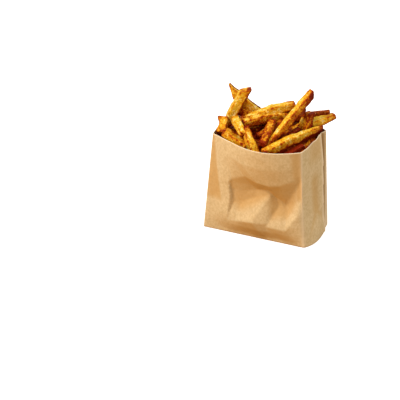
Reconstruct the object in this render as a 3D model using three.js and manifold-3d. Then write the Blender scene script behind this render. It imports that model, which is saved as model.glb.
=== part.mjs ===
// French fries in a standing paper bag, in millimetres, +Z up. The origin is the middle of the
// bag's bottom, on the surface that the bag stands on. The wide front panel faces -Y.
//
// The group holds two nodes: paper_bag, one thin sheet with an open mouth, and fries, one solid
// of all the fries in the mouth, fused to a plain core that stands in the bag below them.

import * as THREE from 'three';
import { mergeVertices } from 'three/addons/utils/BufferGeometryUtils.js';
import Module from 'manifold-3d';

const wasm = await Module();
wasm.setup();

// ---- Driving dimensions ----

const BAG_WIDTH = 109.5; // across the flat front panel
const BAG_DEPTH = 58; // across the flat side panel
const BAG_HEIGHT = 105;
const PAPER_WALL = 0.6;
const BOTTOM_ROUNDING = 1.4; // the panels turn in by this much to reach the bottom

const FRIES_CLEARANCE = 0.5; // between the paper and anything inside it
const CORE_SIDE_TOP = 88; // height of the core where it meets the panels
const CORE_MIDDLE_TOP = 101; // height of the core in the middle of the mouth
const CORE_MIDDLE = new THREE.Vector2(4, -4);

const FRY_WIDTH = 7.8; // a 3/8 inch cutter's stick, after frying
const FILLER_COUNT = 46;

const BAG_COLOUR = 0xc79a63;
const FRIES_COLOUR = 0xd08a2a;

// ---- Small helpers ----

const lerp = THREE.MathUtils.lerp;
const clamp = THREE.MathUtils.clamp;

// 0 at both ends of a panel and 1 at its highest point; skew moves that point along the panel.
function arch(share, skew = 1, power = 1) {
  return Math.sin(Math.PI * share ** skew) ** power;
}

// Straight lines between [height, value] stations.
function profile(stations, height) {
  const next = stations.findIndex(([at]) => at >= height);
  if (next === 0) return stations[0][1];
  if (next < 0) return stations[stations.length - 1][1];
  const [lowAt, low] = stations[next - 1];
  const [highAt, high] = stations[next];
  return lerp(low, high, (height - lowAt) / (highAt - lowAt));
}

// A repeatable stream of numbers from 0 to 1.
function seededDraw(seed) {
  let state = seed;
  return () => {
    state = (state * 1664525 + 1013904223) % 4294967296;
    return state / 4294967296;
  };
}

// ---- The bag's form ----

// How far each upright corner crease stands, at the rim, from its place over the bottom.
const RIM_SHIFT = {
  frontLeft: [10, 0],
  frontRight: [-2.2, -1.7],
  backRight: [-1.9, -2.2],
  backLeft: [9.5, -2],
};

const CORNERS = {
  frontLeft: [-1, -1],
  frontRight: [1, -1],
  backRight: [1, 1],
  backLeft: [-1, 1],
};

function corner(name, z) {
  const [sideX, sideY] = CORNERS[name];
  const [shiftX, shiftY] = RIM_SHIFT[name];
  const rise = z / BAG_HEIGHT;
  return new THREE.Vector2(
    (sideX * BAG_WIDTH) / 2 + shiftX * rise,
    (sideY * BAG_DEPTH) / 2 + shiftY * rise,
  );
}

// The front panel's creases, from the top one down, each from left to right. A point is how far it
// stands along the panel from the left upright, its height, and how far it is pressed in there. The
// paper is flat between creases, and level with the belly along the rim, the bottom and the uprights.
const FRONT_CREASES = [
  // The upper left stands proud, and the middle starts to fall in.
  [
    [9, 90, 0], [20, 90, -0.8], [31, 89, -0.9], [44, 86, -0.8], [57, 85, -0.2],
    [72, 84, 0.2], [84, 85, 0.3], [96, 88, 0.3], [106, 93, 0.2],
  ],
  // The top of the band that falls steeply into the valley.
  [
    [9, 60, 0], [26.5, 59.7, -1], [30.4, 63.5, 0.6], [46.5, 71, 1.6], [63, 66, 1.2],
    [74.5, 64.5, 1.6], [86.5, 66.5, 2], [98, 71.5, 2], [107, 79, 0.8],
  ],
  // The valley, from the left pocket over the ridge's top and the pinch to the right upright.
  [
    [10, 51, 0.4], [27.7, 52, -0.4], [29.4, 49, 4.2], [41.9, 50, 6.8], [58, 55, 8.4],
    [72, 57, 8], [80, 47.5, 10], [88.3, 40.5, 11.4], [106.8, 72, 2.6],
  ],
  // The pocket's point, the ridge's top and the pinch.
  [
    [10, 44, 0.8], [28.4, 38.5, 0.4], [31.2, 35.5, 4.8], [41, 37, 8], [54.8, 45.2, 8.2],
    [74.5, 53.5, 5.6], [82, 39.5, 9.6], [91.5, 35.5, 7.8], [106.5, 51.5, 2.2],
  ],
  // The lower facets stand proud.
  [
    [10, 18, 0], [20, 17, -0.6], [27, 16.5, -0.8], [35, 17, -0.8], [46, 19.7, -1],
    [56.6, 22, -3], [71, 18, 1], [92.3, 18, -1.4], [106, 37.5, -1.8],
  ],
];

// A valley on another panel runs from one point, as [along the panel, height], to another, always
// from left to right or upwards. It is pressed in by depth at either end, and is level again at the
// distances in reach, as [below or right of it, above or left of it], and at endReach past its ends.
const BACK_VALLEYS = [
  { start: [22, 60], end: [58, 56], depth: [4, 6], reach: [14, 20], endReach: 12 },
  { start: [58, 56], end: [92, 62], depth: [6, 3], reach: [13, 20], endReach: 12 },
];
const SIDE_VALLEYS = [
  { start: [29, 30], end: [27, 105], depth: [1.6, 1.6], reach: [16, 16], endReach: 10 },
  { start: [4, 6], end: [29, 30], depth: [0.6, 1.4], reach: [9, 9], endReach: 8 },
  { start: [29, 30], end: [54, 6], depth: [1.4, 0.6], reach: [9, 9], endReach: 8 },
];
const FOLD_EDGE = 0.06; // share of a panel over which its folds fade out at the uprights

const FRONT_BELLY = { depth: 18.9, skew: 1.29, power: 0.88 };
const BACK_BELLY = { depth: 13, skew: 1, power: 0.9 };
const RIGHT_BELLY = 1.5;
const LEFT_BELLY = 3;
const LEFT_BELLY_RISE = 20; // the height over which the left panel's belly grows from the bottom
const BELLY_BY_HEIGHT = [
  [0, 0], [4, 0.05], [12, 0.28], [22, 0.46], [34, 0.48], [44, 0.475],
  [60, 0.57], [67, 0.65], [76, 0.76], [86, 0.865], [96, 0.95], [105, 1],
];
const SIDE_FLARE = { depth: 5.6, skew: 0.6, height: 46, power: 1.5 }; // the right panel's foot
const RIM_DIP = { depth: 3, middle: 0.78, reach: 0.2, bottom: 75 }; // in the right panel

// The flat pieces between creases, each as its three corners.
function creaseTriangles(creases, width) {
  const rows = creases.map((crease) => [
    [0, crease[0][1], 0],
    ...crease,
    [width, crease[crease.length - 1][1], 0],
  ]);
  const rim = rows[0].map(([along]) => [along, BAG_HEIGHT, 0]);
  const bottom = rows[rows.length - 1].map(([along]) => [along, 0, 0]);
  const all = [rim, ...rows, bottom];
  const triangles = [];
  for (let row = 1; row < all.length; row += 1) {
    const [upper, lower] = [all[row - 1], all[row]];
    for (let i = 1; i < upper.length; i += 1) {
      triangles.push([upper[i - 1], lower[i - 1], lower[i]]);
      triangles.push([upper[i - 1], lower[i], upper[i]]);
    }
  }
  return triangles.map((corners) => corners.map((point) => new THREE.Vector3(...point)));
}

// How far the flat piece that holds a point is pressed in there.
function creasedDepth(triangles, along, z) {
  let mostInside = -Infinity;
  let pressed = 0;
  for (const [a, b, c] of triangles) {
    const area = (b.x - a.x) * (c.y - a.y) - (b.y - a.y) * (c.x - a.x);
    const shareB = ((along - a.x) * (c.y - a.y) - (z - a.y) * (c.x - a.x)) / area;
    const shareC = ((b.x - a.x) * (z - a.y) - (b.y - a.y) * (along - a.x)) / area;
    const shareA = 1 - shareB - shareC;
    const inside = Math.min(shareA, shareB, shareC);
    if (inside > mostInside) {
      mostInside = inside;
      pressed = shareA * a.z + shareB * b.z + shareC * c.z;
    }
  }
  return pressed;
}

const FRONT_TRIANGLES = creaseTriangles(FRONT_CREASES, BAG_WIDTH);

function foldDepth(folds, along, z) {
  let deepest = 0;
  for (const { start, end, depth, reach, endReach } of folds) {
    const run = new THREE.Vector2(...end).sub(new THREE.Vector2(...start));
    const length = run.length();
    run.normalize();
    const [across, rise] = [along - start[0], z - start[1]];
    const reached = across * run.x + rise * run.y;
    const side = rise * run.x - across * run.y;
    const past = Math.max(-reached, reached - length, 0);
    const [below, above] = reach;
    const level = Math.max(0, 1 - (side > 0 ? side / above : -side / below));
    const fade = Math.max(0, 1 - past / endReach);
    const pressed = lerp(...depth, clamp(reached / length, 0, 1)) * level * fade;
    if (Math.abs(pressed) > Math.abs(deepest)) deepest = pressed;
  }
  return deepest;
}

// Folds fade out at a panel's two upright creases, which stay where the corners put them.
function edgeFade(share) {
  return clamp(Math.min(share, 1 - share) / FOLD_EDGE, 0, 1);
}

function belly({ depth, skew, power }, share, z) {
  return depth * arch(share, skew, power) * profile(BELLY_BY_HEIGHT, z);
}

const evenShares = (count) => Array.from({ length: count }, (_, i) => i / count);

// Where the front panel's mesh has its columns, to meet the ends of its creases.
const FRONT_COLUMNS = [
  0, 6, 12, 19, 27, 30.8, 36, 42, 48.5, 56, 64, 72.5, 77.5, 82, 87.5, 92, 98, 106.5,
];

// How far each panel stands out from the straight line between its two corner creases.
const PANELS = [
  {
    from: 'frontLeft',
    to: 'frontRight',
    shares: FRONT_COLUMNS.map((along) => along / BAG_WIDTH),
    out(share, z) {
      return belly(FRONT_BELLY, share, z) - creasedDepth(FRONT_TRIANGLES, share * BAG_WIDTH, z);
    },
  },
  {
    from: 'frontRight',
    to: 'backRight',
    shares: evenShares(8),
    out(share, z) {
      const { depth, skew, height, power } = SIDE_FLARE;
      const flare = depth * arch(share, skew) * clamp(1 - z / height, 0, 1) ** power;
      const nearDip = clamp(1 - Math.abs(share - RIM_DIP.middle) / RIM_DIP.reach, 0, 1);
      const rise = clamp((z - RIM_DIP.bottom) / (BAG_HEIGHT - RIM_DIP.bottom), 0, 1);
      const folds = foldDepth(SIDE_VALLEYS, share * BAG_DEPTH, z) + RIM_DIP.depth * nearDip * rise;
      return RIGHT_BELLY * arch(share) + flare - folds * edgeFade(share);
    },
  },
  {
    from: 'backRight',
    to: 'backLeft',
    shares: evenShares(12),
    out(share, z) {
      const folds = foldDepth(BACK_VALLEYS, share * BAG_WIDTH, z);
      return belly(BACK_BELLY, share, z) - folds * edgeFade(share);
    },
  },
  {
    from: 'backLeft',
    to: 'frontLeft',
    shares: evenShares(8),
    out(share, z) {
      const folds = foldDepth(SIDE_VALLEYS, share * BAG_DEPTH, z);
      return LEFT_BELLY * arch(share) * Math.min(1, z / LEFT_BELLY_RISE) - folds * edgeFade(share);
    },
  },
];

const SHARPEST_TURN = 0.6; // cosine of half the sharpest turn that an inset outline follows

// The bag's outline at height z, counter-clockwise from above, moved in by inset.
function outline(z, inset) {
  const points = [];
  for (const { from, to, shares, out } of PANELS) {
    const start = corner(from, z);
    const end = corner(to, z);
    const outward = end.clone().sub(start).normalize();
    outward.set(outward.y, -outward.x);
    for (const share of shares) {
      const point = start.clone().lerp(end, share);
      points.push(point.addScaledVector(outward, out(share, z)));
    }
  }
  if (inset === 0) return points;
  return points.map((point, i) => {
    const before = points[(i + points.length - 1) % points.length];
    const after = points[(i + 1) % points.length];
    const inA = point.clone().sub(before).normalize();
    const inB = after.clone().sub(point).normalize();
    inA.set(-inA.y, inA.x);
    inB.set(-inB.y, inB.x);
    const inward = inA.add(inB).normalize();
    const square = Math.max(SHARPEST_TURN, inward.dot(inB));
    return point.clone().addScaledVector(inward, inset / square);
  });
}

// ---- Meshes from rings of points ----

// Joins rings of equal length, each a list of Vector3, into a closed mesh. The first and last
// rings are filled: flat ones by their own outline, and others by a fan to a point.
class RingMesh {
  constructor() {
    this.positions = [];
    this.indices = [];
  }

  addRing(points) {
    const first = this.positions.length / 3;
    for (const { x, y, z } of points) this.positions.push(x, y, z);
    return { first, count: points.length };
  }

  join(lower, upper) {
    for (let i = 0; i < lower.count; i += 1) {
      const next = (i + 1) % lower.count;
      const [a, b] = [lower.first + i, lower.first + next];
      const [c, d] = [upper.first + next, upper.first + i];
      this.indices.push(a, b, c, a, c, d);
    }
  }

  // Fills a flat ring; it faces down when facingDown is true.
  fill(ring, points, facingDown) {
    const flat = points.map(({ x, y }) => new THREE.Vector2(x, y));
    for (const [a, b, c] of THREE.ShapeUtils.triangulateShape(flat, [])) {
      const face = facingDown ? [a, c, b] : [a, b, c];
      this.indices.push(...face.map((i) => ring.first + i));
    }
  }

  fan(ring, { x, y, z }, atEnd) {
    const middle = this.positions.length / 3;
    this.positions.push(x, y, z);
    for (let i = 0; i < ring.count; i += 1) {
      const next = (i + 1) % ring.count;
      const [a, b] = [ring.first + i, ring.first + next];
      this.indices.push(...(atEnd ? [a, b, middle] : [b, a, middle]));
    }
  }

  geometry() {
    const geometry = new THREE.BufferGeometry();
    geometry.setAttribute('position', new THREE.Float32BufferAttribute(this.positions, 3));
    geometry.setIndex(this.indices);
    return geometry;
  }
}

const ringAt = (z, inset) => outline(z, inset).map(({ x, y }) => new THREE.Vector3(x, y, z));

// ---- The paper bag ----

const BAG_ROWS = [BOTTOM_ROUNDING, 8, 18, 28, 36, 41, 46, 51, 56, 61, 66, 73, 86, BAG_HEIGHT];

function paperBagGeometry() {
  const mesh = new RingMesh();
  const bottom = ringAt(0, BOTTOM_ROUNDING);
  const outside = [mesh.addRing(bottom)];
  for (const z of BAG_ROWS) outside.push(mesh.addRing(ringAt(z, 0)));
  const floor = ringAt(0, BOTTOM_ROUNDING + PAPER_WALL);
  for (const point of floor) point.z = PAPER_WALL;
  const inside = [mesh.addRing(floor)];
  for (const z of BAG_ROWS) inside.push(mesh.addRing(ringAt(z, PAPER_WALL)));

  mesh.fill(outside[0], bottom, true);
  for (let row = 0; row < BAG_ROWS.length; row += 1) mesh.join(outside[row], outside[row + 1]);
  mesh.join(outside[BAG_ROWS.length], inside[BAG_ROWS.length]);
  for (let row = BAG_ROWS.length; row > 0; row -= 1) mesh.join(inside[row], inside[row - 1]);
  mesh.fill(inside[0], floor, false);
  return mesh.geometry();
}

// ---- The fries that show, each by the middles of its two ends ----

// foot is the end down in the heap and tip the free end. cut slants the free end's face, as how much
// longer the fry is on its left side and on its upper side, ends is how wide the fry is at its foot
// and its tip, as shares of its middle, and bow bends the middle up.
const SHOWN_FRIES = [
  { foot: [4, 15, 102.5], tip: [-40.5, 4.5, 138], width: 7.6, thick: 10, cut: [0, 15] }, // wedge end
  {
    foot: [-44.2, -11, 95.6], // crosses the wedge-ended one
    tip: [-23.5, 1.7, 144.3],
    width: 9.6,
    thick: 10,
    cut: [0, -7],
    ends: [0.55, 0.98],
    bow: 0.5,
  },
  { foot: [-38.8, -23, 103.4], tip: [-43, -9, 115.6], width: 9.4, cut: [0, -3] }, // by the left rim
  { foot: [-4.5, -36, 100], tip: [-32, -28, 109], width: 9.4, ends: [0.8, 1] },
  { foot: [-10, -33, 112], tip: [-23.5, -23, 122.5], width: 7, ends: [0.8, 1.1], cut: [0, 4] },
  { foot: [6.5, -38.5, 95], tip: [-11, -25, 117.5], width: 9, ends: [1.08, 0.6] }, // short and fat
  { foot: [8, -2, 117.5], tip: [11.5, -34, 106], width: 8.4, cut: [3, 0], ends: [1, 0.85] },
  { foot: [10, 4, 105.5], tip: [16, -22, 100], width: 7.6 },
  { foot: [-19, -7.5, 117], tip: [20.5, 23.5, 127], width: 9.6, ends: [0.7, 0.95], bow: 1.5 },
  { foot: [-17, -18.5, 116.5], tip: [17, 18, 117], width: 9.4, ends: [0.85, 0.95], bow: 1.5 },
  {
    foot: [12, -33, 98.5], // the tall one
    tip: [39.5, 21, 144.5],
    width: 7.8,
    cut: [0, 5],
    ends: [0.6, 0.98],
  },
  { foot: [16.5, -43, 101.5], tip: [50.5, 23, 110], width: 9.2, ends: [0.9, 0.4], bow: 1 }, // long
  { foot: [24, -29.5, 96.5], tip: [46.5, 26, 103.5], width: 7.6 },
  {
    foot: [19.5, 10, 101.5], // wide, out over the right side
    tip: [57, 37.5, 117.5],
    width: 12.4,
    thick: 9,
    cut: [-4, 0],
    ends: [1, 0.62],
  },
  { foot: [12, 24, 110], tip: [49, 44, 116.5], width: 7.6, ends: [1, 0.7] },
  {
    foot: [34, 9, 104], // a stub
    tip: [37.5, 20, 124],
    width: 11.5,
    thick: 9.5,
    cut: [0, -4],
    ends: [1, 0.9],
  },
  { foot: [12, 9, 106.5], tip: [-33, 3, 120], width: 8.2 }, // under the wedge-ended one
  { foot: [-2, -16, 104], tip: [17.5, 3, 116], width: 7.6 },
  { foot: [22.5, -17.5, 101], tip: [33, 7, 111], width: 7.6, ends: [0.9, 0.7] },
  { foot: [-8, 20, 101.5], tip: [-27, 31.5, 111], width: 7.6, cut: [3, 0] }, // over the back rim
  { foot: [9, 20, 103], tip: [18, 46, 114], width: 7.6, cut: [-3, 0] },
  { foot: [-35, 8, 107], tip: [-17, -9, 117], width: 8 }, // behind the crossing one
];

const toVectors = (fry) => ({
  ...fry,
  foot: new THREE.Vector3(...fry.foot),
  tip: new THREE.Vector3(...fry.tip),
  pinned: true,
});

// ---- Filler fries, scattered in the mouth and pushed apart until they lie clear ----

const FILLER_SEED = 20;
const FILLER_ENDS_SEED = 21;
const FILLER_LENGTHS = [36, 60];
const FILLER_WIDTHS = [0.88, 1.06]; // shares of a fry's usual width
const FILLER_ENDS = [0.72, 1];
const FILLER_PITCH = [-0.15, 0.5];
const FILLER_CUT = 4;
const FILLER_BOW = 1.5;
const FILLER_BOX = { x: [-32, 38], y: [-38, 24], z: [94, 112] }; // where their middles start

const SETTLE_STEPS = 120;
const SINK_PER_STEP = 0.22;
const WATCHED_SHARES = [0, 0.25, 0.5, 0.75, 1]; // of a filler, from foot to tip
const HELD_AWAY = 0.7; // shares of its width that a filler's middle line is held from the paper,
const HELD_OVER = 0.1; // over the core's dome
const HELD_UNDER = 0.5; // and under the heap's
const HOLD_RATE = 0.6; // of what is missing, in each step
const CROSSED = 0.58; // nearer the paper than this share of its width, a filler crosses it
const CROSSED_SLACK = 0.3;
const END_PUSH = 1.4; // how far a push at one end moves that end, against a push of the whole fry
const WHOLE_PUSH = 0.2;
const FILLER_SIDE_TOP = 96; // no filler stands higher, beside the panels or in the middle
const FILLER_MIDDLE_TOP = 112;
const FILLER_MIDDLE = new THREE.Vector2(4, 6);
const DOME_DEPTH = 0.7; // share of the bag's depth at which a dome has come down to its sides
const NEAREST_CORNER = 0.02; // share of a panel that a point beside it is kept from its ends

// Height of a dome over the mouth, which falls from middleTop to sideTop at the panels.
function dome({ x, y }, middle, middleTop, sideTop) {
  const across = (x - middle.x) / (BAG_WIDTH / 2);
  const deep = (y - middle.y) / (BAG_DEPTH * DOME_DEPTH);
  return lerp(middleTop, sideTop, clamp(across * across + deep * deep, 0, 1));
}

// Moves a point that is lower than the rim to at least margin inside the panels.
function keepInside(point, margin) {
  if (point.z > BAG_HEIGHT + margin) return;
  const z = Math.min(point.z, BAG_HEIGHT);
  const [front, right, back, left] = PANELS.map((panel) => {
    const start = corner(panel.from, z);
    const along = corner(panel.to, z).sub(start);
    const reached = new THREE.Vector2(point.x, point.y).sub(start).dot(along);
    const share = clamp(reached / along.lengthSq(), NEAREST_CORNER, 1 - NEAREST_CORNER);
    return { wall: start.addScaledVector(along, share), out: panel.out(share, z) };
  });
  point.y = Math.max(point.y, front.wall.y - front.out + margin);
  point.y = Math.min(point.y, back.wall.y + back.out - margin);
  point.x = Math.min(point.x, right.wall.x + right.out - margin);
  point.x = Math.max(point.x, left.wall.x - left.out + margin);
}

// The nearest points of two fries' centre lines, as shares from foot to tip.
function nearestShares(a, b) {
  const alongA = a.tip.clone().sub(a.foot);
  const alongB = b.tip.clone().sub(b.foot);
  const between = a.foot.clone().sub(b.foot);
  const lengthA = alongA.lengthSq();
  const lengthB = alongB.lengthSq();
  const cross = alongA.dot(alongB);
  const offsetA = alongA.dot(between);
  const offsetB = alongB.dot(between);
  const spread = lengthA * lengthB - cross * cross;
  let shareA = spread > 1e-6 ? clamp((cross * offsetB - offsetA * lengthB) / spread, 0, 1) : 0.5;
  let shareB = (cross * shareA + offsetB) / lengthB;
  if (shareB < 0 || shareB > 1) {
    shareB = clamp(shareB, 0, 1);
    shareA = clamp((cross * shareB - offsetA) / lengthA, 0, 1);
  }
  return [shareA, shareB];
}

function pushFry(fry, share, push) {
  if (fry.pinned) return;
  fry.foot.addScaledVector(push, END_PUSH * (1 - share) + WHOLE_PUSH);
  fry.tip.addScaledVector(push, END_PUSH * share + WHOLE_PUSH);
}

function pushApart(a, b) {
  const [shareA, shareB] = nearestShares(a, b);
  const pointA = a.foot.clone().lerp(a.tip, shareA);
  const pointB = b.foot.clone().lerp(b.tip, shareB);
  const apart = pointA.sub(pointB);
  const distance = apart.length();
  const overlap = (a.width + b.width) / 2 - distance;
  if (overlap <= 0 || distance < 1e-6) return;
  const movers = (a.pinned ? 0 : 1) + (b.pinned ? 0 : 1);
  apart.multiplyScalar((0.5 * overlap) / (distance * movers));
  pushFry(a, shareA, apart);
  pushFry(b, shareB, apart.negate());
}

function holdFiller(fry) {
  for (const share of WATCHED_SHARES) {
    const point = fry.foot.clone().lerp(fry.tip, share);
    const held = point.clone();
    keepInside(held, PAPER_WALL + FRIES_CLEARANCE + HELD_AWAY * fry.width);
    const ceiling = dome(held, FILLER_MIDDLE, FILLER_MIDDLE_TOP, FILLER_SIDE_TOP);
    const floor = dome(held, CORE_MIDDLE, CORE_MIDDLE_TOP, CORE_SIDE_TOP);
    held.z = clamp(held.z, floor + HELD_OVER * fry.width, ceiling - HELD_UNDER * fry.width);
    pushFry(fry, share, held.sub(point).multiplyScalar(HOLD_RATE));
  }
  const middle = fry.foot.clone().lerp(fry.tip, 0.5);
  const half = fry.tip.clone().sub(fry.foot).setLength(fry.length / 2);
  fry.foot.copy(middle).sub(half);
  fry.tip.copy(middle).add(half);
}

function scatterFillers() {
  const draw = seededDraw(FILLER_SEED);
  const drawEnds = seededDraw(FILLER_ENDS_SEED);
  const between = ([low, high]) => lerp(low, high, draw());
  const fillers = [];
  for (let n = 0; n < FILLER_COUNT; n += 1) {
    const length = between(FILLER_LENGTHS);
    const heading = between([0, 2 * Math.PI]);
    const pitch = between(FILLER_PITCH);
    const { x, y, z } = FILLER_BOX;
    const middle = new THREE.Vector3(between(x), between(y), between(z));
    const half = new THREE.Vector3(
      Math.cos(heading) * Math.cos(pitch),
      Math.sin(heading) * Math.cos(pitch),
      Math.sin(pitch),
    ).multiplyScalar(length / 2);
    fillers.push({
      foot: middle.clone().sub(half),
      tip: middle.clone().add(half),
      length,
      width: between(FILLER_WIDTHS) * FRY_WIDTH,
      cut: [between([-FILLER_CUT, FILLER_CUT]), 0],
      bow: between([-FILLER_BOW, FILLER_BOW]),
      ends: [lerp(...FILLER_ENDS, drawEnds()), lerp(...FILLER_ENDS, drawEnds())],
    });
  }
  return fillers;
}

// Whether a fry that has settled still stands out into the paper somewhere.
function crossesPaper(fry) {
  return WATCHED_SHARES.some((share) => {
    const point = fry.foot.clone().lerp(fry.tip, share);
    const held = point.clone();
    keepInside(held, PAPER_WALL + FRIES_CLEARANCE + CROSSED * fry.width);
    return held.distanceTo(point) > CROSSED_SLACK;
  });
}

function settledFries() {
  const shown = SHOWN_FRIES.map(toVectors);
  const fillers = scatterFillers();
  const fries = [...shown, ...fillers];
  for (let step = 0; step < SETTLE_STEPS; step += 1) {
    const sink = SINK_PER_STEP * (1 - step / SETTLE_STEPS);
    for (const filler of fillers) {
      filler.foot.z -= sink;
      filler.tip.z -= sink;
    }
    for (let i = 0; i < fries.length; i += 1) {
      for (let j = Math.max(i + 1, shown.length); j < fries.length; j += 1) {
        pushApart(fries[i], fries[j]);
      }
    }
    fillers.forEach(holdFiller);
  }
  return fries.filter((fry) => fry.pinned || !crossesPaper(fry));
}

// ---- A fry: a square bar with broken edges, a bow and oblique ends ----

const SHOWN_STATIONS = [0, 0.05, 0.35, 0.66, 0.95, 1];
const FILLER_STATIONS = [0, 0.06, 0.94, 1];
const END_SHRINK = 0.8;
const THICK_SHARE = 0.95; // of a fry's width
const CHAMFER = 0.3; // share of the half width that each long edge loses

function fryGeometry(fry) {
  const { foot, tip, width, thick = THICK_SHARE * width, pinned } = fry;
  const { cut = [0, 0], ends = [1, 1], bow = 0 } = fry;
  const along = tip.clone().sub(foot);
  const length = along.length();
  along.normalize();
  const across = new THREE.Vector3(-along.y, along.x, 0).normalize();
  const up = along.clone().cross(across);
  const corners = [
    [1, -1 + CHAMFER],
    [1, 1 - CHAMFER],
    [1 - CHAMFER, 1],
    [-1 + CHAMFER, 1],
    [-1, 1 - CHAMFER],
    [-1, -1 + CHAMFER],
    [-1 + CHAMFER, -1],
    [1 - CHAMFER, -1],
  ];
  const mesh = new RingMesh();
  const rings = (pinned ? SHOWN_STATIONS : FILLER_STATIONS).map((share) => {
    const isEnd = share === 0 || share === 1;
    const taper = lerp(share < 0.5 ? ends[0] : ends[1], 1, 1 - Math.abs(2 * share - 1));
    const size = taper * (isEnd ? END_SHRINK : 1);
    const [cutSide, cutUp] = share > 0.5 ? cut : [0, 0];
    const middle = foot.clone().addScaledVector(up, bow * Math.sin(Math.PI * share));
    const points = corners.map(([sideways, upward]) =>
      middle
        .clone()
        .addScaledVector(along, share * length + (cutSide * sideways + cutUp * upward) / 2)
        .addScaledVector(across, (sideways * size * width) / 2)
        .addScaledVector(up, (upward * size * thick) / 2),
    );
    return mesh.addRing(points);
  });
  for (let i = 1; i < rings.length; i += 1) mesh.join(rings[i - 1], rings[i]);
  mesh.fan(rings[0], foot, false);
  mesh.fan(rings[rings.length - 1], tip, true);
  return mesh.geometry();
}

// ---- The core, which fills the bag up to a low dome under the fries ----

const CORE_SLACK = 2.8; // the heap doesn't press into every fold of the paper
const CORE_ROWS = [2.5, 18, 36, 46, 54, 64, 76, CORE_SIDE_TOP];
const DOME_RINGS = [0.75, 0.4];

function coreGeometry() {
  const inset = PAPER_WALL + FRIES_CLEARANCE + CORE_SLACK;
  const mesh = new RingMesh();
  const bottom = ringAt(0, BOTTOM_ROUNDING + inset);
  for (const point of bottom) point.z = PAPER_WALL + FRIES_CLEARANCE;
  const rings = [mesh.addRing(bottom)];
  for (const z of CORE_ROWS) rings.push(mesh.addRing(ringAt(z, inset)));
  const side = ringAt(CORE_SIDE_TOP, inset);
  const middle = new THREE.Vector3(CORE_MIDDLE.x, CORE_MIDDLE.y, CORE_MIDDLE_TOP);
  for (const reach of DOME_RINGS) {
    const rise = (CORE_MIDDLE_TOP - CORE_SIDE_TOP) * (1 - reach * reach);
    const ring = side.map((point) => {
      const moved = middle.clone().lerp(point, reach);
      moved.z = CORE_SIDE_TOP + rise;
      return moved;
    });
    rings.push(mesh.addRing(ring));
  }
  mesh.fill(rings[0], bottom, true);
  for (let i = 1; i < rings.length; i += 1) mesh.join(rings[i - 1], rings[i]);
  mesh.fan(rings[rings.length - 1], middle, true);
  return mesh.geometry();
}

// ---- Solids ----

function toSolid(geometry) {
  const bare = new THREE.BufferGeometry();
  bare.setAttribute('position', geometry.getAttribute('position'));
  bare.setIndex(geometry.getIndex());
  const merged = mergeVertices(bare, 1e-4);
  return new wasm.Manifold(
    new wasm.Mesh({
      numProp: 3,
      vertProperties: new Float32Array(merged.getAttribute('position').array),
      triVerts: new Uint32Array(merged.getIndex().array),
    }),
  );
}

function toGeometry(solid) {
  const { vertProperties, triVerts, numProp } = solid.getMesh();
  const geometry = new THREE.BufferGeometry();
  const positions = [];
  for (let i = 0; i < vertProperties.length; i += numProp) {
    positions.push(vertProperties[i], vertProperties[i + 1], vertProperties[i + 2]);
  }
  geometry.setAttribute('position', new THREE.Float32BufferAttribute(positions, 3));
  geometry.setIndex([...triVerts]);
  return geometry;
}

const SLIVER = 0.001; // edges shorter than this are closed up

// One body: sealed hollows between the fries are filled and loose scraps are dropped.
function largestBody(solid) {
  const bodies = solid.decompose();
  return bodies.reduce((best, body) => (body.volume() > best.volume() ? body : best));
}

function friesSolid() {
  let heap = toSolid(coreGeometry());
  for (const fry of settledFries()) heap = heap.add(toSolid(fryGeometry(fry)));
  return largestBody(heap).simplify(SLIVER);
}

// ---- The object ----

function namedMesh(name, geometry, colour, roughness) {
  const material = new THREE.MeshStandardMaterial({ color: colour, roughness, metalness: 0 });
  geometry.computeVertexNormals();
  const mesh = new THREE.Mesh(geometry, material);
  mesh.name = name;
  return mesh;
}

const object = new THREE.Group();
object.add(
  namedMesh('paper_bag', paperBagGeometry(), BAG_COLOUR, 0.85),
  namedMesh('fries', toGeometry(friesSolid()), FRIES_COLOUR, 0.5),
);

export default object;
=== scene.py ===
"""French fries heaped in a standing kraft paper bag.

Forms are worked out in millimetres and turned into metres as each mesh is made. The origin is the
middle of the bag's bottom, +Z is up, and the bag's wide front panel faces -Y.
"""

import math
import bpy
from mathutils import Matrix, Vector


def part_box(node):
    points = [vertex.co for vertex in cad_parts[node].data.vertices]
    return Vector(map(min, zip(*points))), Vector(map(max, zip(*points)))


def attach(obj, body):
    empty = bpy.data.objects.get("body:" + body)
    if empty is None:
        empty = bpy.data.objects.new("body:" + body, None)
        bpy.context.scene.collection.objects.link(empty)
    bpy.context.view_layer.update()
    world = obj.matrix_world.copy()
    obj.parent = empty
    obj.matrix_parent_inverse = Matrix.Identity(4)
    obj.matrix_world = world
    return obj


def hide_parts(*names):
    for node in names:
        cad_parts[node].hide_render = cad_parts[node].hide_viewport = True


bl_info = {
    "name": "Fries in a Paper Bag",
    "version": (1, 0, 0),
    "blender": (4, 5, 0),
    "location": "View3D > Sidebar > Fries",
    "description": "Builds skin-on french fries heaped in a creased kraft paper bag",
    "category": "Add Mesh",
}

import bmesh
import bpy
import numpy as np
from bpy.props import (
    FloatProperty,
    FloatVectorProperty,
    IntProperty,
    PointerProperty,
)
from mathutils import Matrix, Vector, noise

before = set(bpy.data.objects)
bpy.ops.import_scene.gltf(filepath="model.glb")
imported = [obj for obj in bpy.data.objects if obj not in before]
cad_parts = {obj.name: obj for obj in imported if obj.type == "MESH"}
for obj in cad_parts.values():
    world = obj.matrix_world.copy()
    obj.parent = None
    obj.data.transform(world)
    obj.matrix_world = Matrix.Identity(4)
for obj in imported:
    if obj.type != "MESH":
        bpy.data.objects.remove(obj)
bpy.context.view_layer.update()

MM = 0.001
BODY = "root"


# ---- Small helpers ----


def smoothstep(low, high, value):
    share = np.clip((value - low) / (high - low), 0, 1)
    return share * share * (3 - 2 * share)


def unit(vector):
    return vector / np.linalg.norm(vector)


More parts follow.
